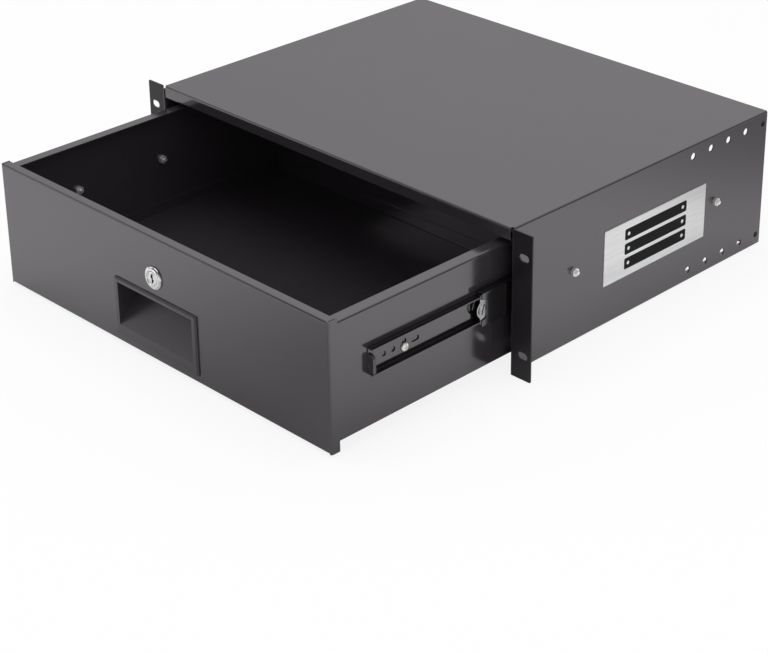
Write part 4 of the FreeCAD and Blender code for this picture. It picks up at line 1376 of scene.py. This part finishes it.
@dataclass
class CamLock(SubAssembly):
    """Cam lock in the drawer front.

    Steps are pairs of a distance and a depth in millimetres. A slot of the keyway is a share of
    its height, a move sideways in keyway widths and a move up in millimetres.
    """

    proud: float = 2.4 * MM
    barrel: float = 8.9 * MM
    barrel_lead: float = 0.4 * MM
    barrel_end: float = 1.2 * MM
    barrel_chamfer: float = 0.5 * MM
    barrel_pitch: float = 1.0 * MM
    barrel_depth: float = 0.35 * MM
    bore: float = 6.05 * MM
    bore_steps: Outline = ((0.0, 1.2), (0.1, 0.75), (0.7, 0.62), (0.85, 0.2), (1.1, 0.0))
    rim_steps: Outline = ((2.0, 0.0), (1.7, 0.1), (1.55, 0.4), (1.35, 0.5), (0.9, 0.62),
                          (0.35, 0.95), (0.08, 1.35), (0.0, 1.7))
    groove: float = 0.85 * MM
    dish: float = 4.5 * MM
    dish_steps: Outline = ((0.0, 0.0), (0.15, 0.12), (0.35, 0.12), (0.5, 0.0))
    plug_steps: Outline = ((0.5, 0.0), (0.12, 0.2))
    plug_centre: float = 0.2 * MM
    keyway: float = 8.6 * MM
    keyway_width: float = 1.7 * MM
    keyway_depth: float = 6.0 * MM
    keyway_clear: float = 0.5 * MM
    keyway_slots: tuple[Triple, ...] = ((1.0, 0.0, 0.0), (0.3, 0.6, 1.4), (0.22, -0.6, -1.7))
    tail: float = 6.0 * MM
    cam_recess: float = 2.4 * MM
    cam_thread: Thread = Thread(1.5 * MM, 0.5 * MM)

    def _housing(self) -> None:
        """Chrome ring with a stepped face and the threaded barrel behind the front."""
        low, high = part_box("lock_housing")
        radius = (high.x - low.x) / 2
        length = high.y - low.y
        origin = Vector(((low.x + high.x) / 2, low.y, (low.z + high.z) / 2))
        face = [(self.bore, length)]
        face += [(self.bore + step * MM, depth * MM) for step, depth in self.bore_steps]
        face += [(radius - step * MM, depth * MM) for step, depth in self.rim_steps]
        start = self.proud + self.barrel_lead
        turns = int((length - self.barrel_end - start) / self.barrel_pitch)
        barrel = [(radius, self.proud), (self.barrel, self.proud), (self.barrel, start)]
        for turn in range(turns):
            barrel += [(self.barrel - self.barrel_depth, start + (turn + 0.5) * self.barrel_pitch),
                       (self.barrel, start + (turn + 1) * self.barrel_pitch)]
        barrel += [(self.barrel, length - self.barrel_chamfer),
                   (self.barrel - self.barrel_chamfer, length)]
        ring = Workshop.turned("lock_housing_fine", face + barrel,
                               aim_frame(origin, Vector((0, 1, 0))), hollow=True, segments=96)
        self.add(ring, "drawer", Coat.CHROME, "lock_chrome", "lock_housing")

    def _plug(self) -> None:
        """Turning plug with a dished face, a warded keyway and a square tail."""
        low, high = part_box("lock_plug")
        radius = (high.x - low.x) / 2
        centre = Vector(((low.x + high.x) / 2, low.y, (low.z + high.z) / 2))
        frame = aim_frame(centre, Vector((0, 1, 0)))
        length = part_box("lock_housing")[1].y - low.y
        profile = [(self.plug_centre, 0.0)]
        profile += [(self.dish + step * MM, depth * MM) for step, depth in self.dish_steps]
        profile += [(radius - step * MM, depth * MM) for step, depth in self.plug_steps]
        profile += [(radius, self.groove), (radius, length), (self.plug_centre, length)]
        plug = Workshop.turned("lock_plug_fine", profile, frame, segments=72)
        width = self.keyway_width
        slots = []
        for share, sideways, upward in self.keyway_slots:
            rings = [level_square(width / 2, self.keyway * share / 2, depth, sideways * width,
                                  upward * MM)
                     for depth in (-self.keyway_clear, self.keyway_depth)]
            slots.append(Workshop.loft("slot", rings, frame))
        plug = Workshop.cut(plug, slots)
        tail = Workshop.loft("tail", [level_square(self.tail / 2, self.tail / 2, depth)
                                      for depth in (length, high.y - low.y)], frame)
        self.add(Workshop.merge("lock_plug_fine", [plug, tail]), "lock_core", Coat.CHROME,
                 "lock_chrome", "lock_plug")

    def _cam_and_nut(self) -> None:
        """Chamfered lock nut and a cross-recessed cam screw."""
        low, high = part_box("lock_nut")
        width = high.x - low.x
        height = high.z - low.z
        seat = Vector(((low.x + high.x) / 2, low.y, (low.z + high.z) / 2))
        nut = HexNut(min(width, height), high.y - low.y, self.barrel)
        across = Vector((0, 0, 1)) if width <= height else Vector((1, 0, 0))
        piece = nut.build("lock_nut_fine", aim_frame(seat, Vector((0, 1, 0)), across))
        self.add(piece, "drawer", Coat.ZINC, "zinc_steel", "lock_nut")
        low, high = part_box("cam_screw")
        seat_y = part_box("lock_cam")[1].y
        centre = Vector(((low.x + high.x) / 2, seat_y, (low.z + high.z) / 2))
        head = CrossScrew(Head.PAN, (high.x - low.x) / 2, high.y - seat_y, self.cam_recess)
        made = [head.build(aim_frame(centre, Vector((0, 1, 0)))),
                self.cam_thread.build(0.0, seat_y - low.y,
                                      aim_frame(centre, Vector((0, -1, 0))))]
        self.add(Workshop.merge("cam_screw_fine", made), "lock_core", Coat.ZINC,
                 "zinc_steel", "cam_screw")

    def dress(self) -> None:
        """Makes the visible lock parts and paints the rest."""
        self._housing()
        self._plug()
        self._cam_and_nut()
        self.keep(Coat.ZINC, "lock_washer", "lock_cam")


@dataclass(frozen=True)
class SplitRing:
    """Split ring of two wire turns that lie on each other."""

    band: float = 0.7 * MM
    wire: float = 0.36 * MM
    lean: float = 45.0
    turns: float = 1.93
    cross_start: float = 0.93
    cross_length: float = 0.12
    end_size: float = 0.55
    end_growth: float = 0.15
    steps: int = 96
    wire_sides: int = 12

    def build(self, name: str, centre: Vector, radius: float) -> bpy.types.Object:
        """Makes the ring.

        Args:
            name: Name of the piece.
            centre: Centre of the ring.
            radius: Radius of the wire's middle line.

        Returns:
            The new piece.
        """
        lean = math.radians(self.lean)
        frame = aim_frame(centre, Vector((0, math.sin(lean), math.cos(lean))), Vector((1, 0, 0)))
        rings = []
        total = int(self.steps * self.turns)
        for index in range(total + 1):
            along = index / total * self.turns
            turn = math.tau * along
            cross = min(1.0, max(0.0, (along - self.cross_start) / self.cross_length))
            level = (cross * cross * (3 - 2 * cross) - 0.5) * 2 * (self.band - self.wire)
            out = Vector((math.cos(turn), math.sin(turn), 0))
            near_end = min(index, total - index)
            size = self.wire * min(1.0, self.end_size + self.end_growth * near_end)
            rings.append([out * (radius + x) + Vector((0, 0, level + y))
                          for x, y in circle(size, count=self.wire_sides)])
        return Workshop.loft(name, rings, frame)


@dataclass
class KeyPair(SubAssembly):
    """Two keys on a split ring; a key is drawn along local -X with its ring hole at the origin."""

    ring: SplitRing = SplitRing()
    bow_length: float = 24.0 * MM
    bow_width: float = 20.0 * MM
    bow_thickness: float = 2.6 * MM
    bow_corner: float = 5.4 * MM
    bow_bevel: float = 0.3 * MM
    hole_inset: float = 5.4 * MM
    hole: float = 3.2 * MM
    rim: float = 1.7 * MM
    recess: float = 0.35 * MM
    recess_gap: float = 0.6 * MM
    recess_corner: float = 3.2 * MM
    ridge_width: float = 1.1 * MM
    ridge_pitch: float = 2.6 * MM
    ridge_height: float = 0.3 * MM
    ridge_margin: float = 2.0 * MM
    ridge_corner: float = 0.5 * MM
    ridge_bevel: float = 0.1 * MM
    blade_length: float = 27.0 * MM
    blade_width: float = 6.5 * MM
    blade_thickness: float = 1.8 * MM
    blade_bevel: float = 0.12 * MM
    blade_root: float = 1.5 * MM
    blade_tip: float = 0.5 * MM
    tilt: float = 7.0
    cuts: tuple[float, ...] = (1.5, 0.7, 1.9, 1.1, 1.6, 0.6)
    cut_pitch: float = 3.0 * MM
    cut_crest: float = 1.35 * MM
    cut_floor: float = 0.45 * MM
    crest_drop: float = 0.15 * MM
    first_cut: float = 6.2 * MM
    groove_places: Outline = ((-1, -0.9 * MM), (1, -1.3 * MM))
    groove_corners: Outline = ((1.2, 1), (-1.2, 1), (-0.6, -1), (0.6, -1))
    groove_width: float = 0.7 * MM
    groove_depth: float = 0.45 * MM
    groove_inset: float = 1.0 * MM

    def _ring_circle(self) -> tuple[Vector, float]:
        """Centre of the key ring and radius of its wire's middle line."""
        low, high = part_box("key_ring")
        return (low + high) / 2, (high.x - low.x) / 2 - self.ring.band

    def _key_frame(self, turned: bool) -> Matrix:
        """Frame of one key.

        Args:
            turned: Whether the key lies on the ring's far side.

        Returns:
            Matrix from the key's drawing to the rack frame.
        """
        centre, radius = self._ring_circle()
        tilt = Matrix.Rotation(math.radians(-self.tilt), 4, "Y")
        spin = Matrix.Rotation(math.pi if turned else 0.0, 4, "Z")
        return Matrix.Translation(centre) @ spin @ shift(x=-radius) @ tilt

    def _bow(self, number: int, frame: Matrix) -> None:
        """Grip with a raised rim, an eyelet and finger ridges on both faces.

        Args:
            number: The key's number.
            frame: The key's frame.
        """
        middle = self.hole_inset - self.bow_length / 2
        half = self.bow_thickness / 2
        outline = rounded_rectangle(self.bow_length, self.bow_width, self.bow_corner, 8)
        bow = Workshop.slab(f"key_bow_{number}_fine", outline, self.bow_thickness,
                            self.bow_bevel, frame @ shift(x=middle, z=-half),
                            [circle(self.hole, (-middle, 0), 40)])
        length = self.bow_length - 2 * self.rim - 2 * self.hole - self.recess_gap
        width = self.bow_width - 2 * self.rim
        back = middle - self.bow_length / 2 + self.rim + length / 2
        pocket = rounded_rectangle(length, width, self.recess_corner, 6)
        pockets = [Workshop.slab("pocket", pocket, 2 * self.recess, 0,
                                 frame @ shift(x=back, z=face * half - self.recess))
                   for face in (-1, 1)]
        parts = [Workshop.cut(bow, pockets)]
        ridge = rounded_rectangle(self.ridge_width, width - 2 * self.ridge_margin,
                                  self.ridge_corner, 4)
        for step in (-1, 0, 1):
            for face in (-1, 1):
                level = face * (half - self.recess) - self.ridge_height / 2
                spot = shift(x=back + step * self.ridge_pitch, z=level)
                parts.append(Workshop.slab("ridge", ridge, self.ridge_height,
                                           self.ridge_bevel, frame @ spot))
        self.add(Workshop.merge(f"key_bow_{number}_fine", parts), "keys", Coat.KEY_GRIP,
                 "black_plastic", f"key_bow_{number}")

    def _blade_outline(self, start: float, tip: float) -> list[tuple[float, float]]:
        """Outline of a blade with its cuts.

        Args:
            start: Where the blade starts in the bow, along local X.
            tip: Where it ends.

        Returns:
            The closed outline.
        """
        half = self.blade_width / 2
        crest = half - self.crest_drop
        point = self.blade_tip
        outline = [(start, -half), (start, half)]
        for index, depth in enumerate(self.cuts):
            centre = start - self.first_cut - index * self.cut_pitch
            floor = half - depth * MM
            outline += [(centre + self.cut_crest, crest), (centre + self.cut_floor, floor),
                        (centre - self.cut_floor, floor), (centre - self.cut_crest, crest)]
        return outline + [(tip + half, half * 0.9), (tip + point, point), (tip, 0),
                          (tip + point, -point), (tip + half, -half)]

    def _blade(self, number: int, frame: Matrix) -> None:
        """Blade with cuts along one edge, a milled groove on each face and a pointed tip.

        Args:
            number: The key's number.
            frame: The key's frame.
        """
        start = self.hole_inset - self.bow_length + self.blade_root
        tip = self.hole_inset - self.bow_length - self.blade_length
        blade = Workshop.slab(f"key_blade_{number}_fine", self._blade_outline(start, tip),
                              self.blade_thickness, self.blade_bevel,
                              frame @ shift(z=-self.blade_thickness / 2))
        grooves = []
        for face, side in self.groove_places:
            level = face * self.blade_thickness / 2
            rings = [[Vector((x, side + across * self.groove_width,
                              level + face * up * self.groove_depth))
                      for across, up in self.groove_corners]
                     for x in (start + self.groove_inset, tip - self.groove_inset)]
            grooves.append(Workshop.loft("groove", rings, frame))
        self.add(Workshop.cut(blade, grooves), "keys", Coat.NICKEL, "key_steel",
                 f"key_blade_{number}")

    def dress(self) -> None:
        """Makes both keys and their ring."""
        for number, turned in ((1, False), (2, True)):
            frame = self._key_frame(turned)
            self._bow(number, frame)
            self._blade(number, frame)
        piece = self.ring.build("key_ring_fine", *self._ring_circle())
        self.add(piece, "keys", Coat.NICKEL, "key_steel", "key_ring")


# ---- studio -----------------------------------------------------------------------------------
@dataclass(frozen=True)
class SoftBox:
    """A rectangular lamp."""

    name: str
    place: Triple
    target: Triple
    width: float
    height: float
    watts: float

    def build(self) -> None:
        """Adds the lamp to the scene."""
        lamp = bpy.data.lights.new(self.name, "AREA")
        lamp.shape = "RECTANGLE"
        lamp.size = self.width
        lamp.size_y = self.height
        lamp.energy = self.watts
        holder = bpy.data.objects.new(self.name, lamp)
        holder.location = self.place
        aim = Vector(self.target) - Vector(self.place)
        holder.rotation_euler = aim.to_track_quat("-Z", "Y").to_euler()
        bpy.context.scene.collection.objects.link(holder)


@dataclass(frozen=True)
class FloorShadePatch:
    """Round patch of painted shade on the floor, which only shiny parts see."""

    centre: Triple
    reach: float
    fade: float

    def mask(self, bench: NodeBench) -> Signal:
        """1 at the patch's centre, falling softly to 0 at its reach, from one bench."""
        away = bench.vectors("DISTANCE", bench.place(), self.centre)
        return 1 - away.above(self.reach / 2, self.reach)


@dataclass(frozen=True)
class Studio:
    """White floor, a light tent bright at its crown, soft boxes and the camera."""

    floor_drop: float = 0.6 * MM
    floor_size: float = 30.0
    floor_white: float = 0.86
    floor_glow: float = 0.86
    floor_shine: float = 0.25
    front_shade_patch: FloorShadePatch = FloorShadePatch((0.15, -0.3, 0.0), 0.4, 0.6)
    rear_shade_patch: FloorShadePatch = FloorShadePatch((0.4, 0.6, 0.0), 0.36, 0.85)
    tent_soft: float = 0.8
    tent_dim: float = 0.16
    tent_crown: Triple = (-0.35, 0.5, 0.79)
    crown_edge: float = 0.78
    crown_width: float = 0.6
    camera_place: Triple = (1.20670, -1.09461, 0.77966)
    camera_azimuth: float = 44.577
    camera_elevation: float = 24.463
    camera_roll: float = -0.222
    camera_lens: float = 96.627
    camera_shift: tuple[float, float] = (-0.06007, -0.19091)
    boxes: tuple[SoftBox, ...] = field(default_factory=lambda: (
        SoftBox("top box", (0.0, -0.1, 2.0), (0, 0, 0), 1.6, 1.6, 16.0),
        SoftBox("front box", (-1.5, -1.2, 0.5), (0, 0, 0), 0.8, 0.8, 2.0),
        SoftBox("side box", (1.9, -0.2, 0.8), (0.1, 0.1, 0), 1.2, 1.0, 2.0),
    ))

    @staticmethod
    def _rays(bench: NodeBench) -> tuple[Signal, Signal]:
        """Kinds of ray.

        Args:
            bench: Where the nodes are made.

        Returns:
            1 for rays from the camera or through glass, and 1 for rays from a shiny surface.
        """
        path = bench.node("ShaderNodeLightPath", {}, {})
        direct, through, shiny = (Signal(bench, path.outputs[f"Is {kind} Ray"])
                                  for kind in ("Camera", "Transmission", "Glossy"))
        return (direct + through).above(0.5, 0.2), shiny

    def _world(self) -> None:
        """White backdrop; the tent that lights the object is brightest at its crown."""
        world = bpy.data.worlds.new("studio")
        world.use_nodes = True
        bpy.context.scene.world = world
        bench = NodeBench(world.node_tree)
        direct, shiny = self._rays(bench)
        way = bench.signal("ShaderNodeTexCoord", {}, {}, "Generated")
        crown = bench.vectors("DOT_PRODUCT", way, self.tent_crown)
        crown = crown.above(self.crown_edge, self.crown_width)
        mirrored = self.tent_dim + (1 - self.tent_dim) * crown
        level = self.tent_soft + (1 - self.tent_soft) * direct + (mirrored - self.tent_soft) * shiny
        sky = bench.signal("ShaderNodeBackground", {}, {"Color": grey(1.0), "Strength": level})
        bench.node("ShaderNodeOutputWorld", {}, {"Surface": sky})

    def _floor_paint(self) -> bpy.types.Material:
        """Matt white that glows for the camera; shiny parts show its patches of painted shade.

        Returns:
            The floor's material.
        """
        material = bpy.data.materials.new("studio floor")
        material.use_nodes = True
        bench = NodeBench(material.node_tree)
        direct, shiny = self._rays(bench)
        # Patches of painted shade on the floor, seen only in reflections.
        front = self.front_shade_patch.mask(bench)
        fade = self.front_shade_patch.fade * front + self.rear_shade_patch.fade * self.rear_shade_patch.mask(bench)
        paint = bench.blend(fade * shiny, grey(self.floor_white), grey(0.0))
        matt = bench.signal("ShaderNodeBsdfDiffuse", {}, {"Color": paint})
        glow = bench.signal("ShaderNodeEmission", {}, {"Color": grey(1.0), "Strength": 1.0})
        share = self.floor_glow * direct + self.floor_shine * shiny * (1 - front)
        bench.node("ShaderNodeOutputMaterial", {}, {"Surface": bench.join(share, matt, glow)})
        return material

    def _floor(self) -> None:
        """Floor just under the case."""
        low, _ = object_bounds()
        shape = bmesh.new()
        bmesh.ops.create_grid(shape, x_segments=1, y_segments=1, size=self.floor_size / 2)
        mesh = bpy.data.meshes.new("studio_floor")
        shape.to_mesh(mesh)
        shape.free()
        floor = bpy.data.objects.new("studio_floor", mesh)
        floor.location.z = low.z - self.floor_drop
        bpy.context.scene.collection.objects.link(floor)
        floor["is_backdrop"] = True
        mesh.materials.append(self._floor_paint())

    def _camera(self) -> None:
        """Camera at the viewing angle."""
        azimuth, elevation, roll = (math.radians(angle) for angle in (
            self.camera_azimuth, self.camera_elevation, self.camera_roll))
        back = Vector((math.sin(azimuth) * math.cos(elevation),
                       -math.cos(azimuth) * math.cos(elevation), math.sin(elevation)))
        right = Vector((math.cos(azimuth), math.sin(azimuth), 0))
        up = back.cross(right)
        turned_right = right * math.cos(roll) + up * math.sin(roll)
        turned_up = up * math.cos(roll) - right * math.sin(roll)
        turn = Matrix((turned_right, turned_up, back)).transposed()
        lens = bpy.data.cameras.new("camera")
        lens.lens = self.camera_lens
        lens.shift_x, lens.shift_y = self.camera_shift
        camera = bpy.data.objects.new("camera", lens)
        camera.matrix_world = Matrix.Translation(self.camera_place) @ turn.to_4x4()
        bpy.context.scene.collection.objects.link(camera)
        bpy.context.scene.camera = camera

    def build(self) -> None:
        """Adds the whole studio."""
        self._world()
        self._floor()
        for box in self.boxes:
            box.build()
        self._camera()
        bpy.context.scene.view_settings.view_transform = "Standard"


def main() -> None:
    """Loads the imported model, dresses each sub-assembly and sets up the studio."""
    logging.basicConfig(level=logging.INFO, format="%(name)s: %(message)s")
    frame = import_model()
    paints = Paintbox()
    groups: tuple[Callable[..., SubAssembly], ...] = (
        RackCase, BallSlides, SlideFasteners, DrawerBox, CamLock, KeyPair)
    for group in groups:
        group(frame["nodes"], paints).dress()
    Studio().build()


if __name__ == "__main__":
    main()
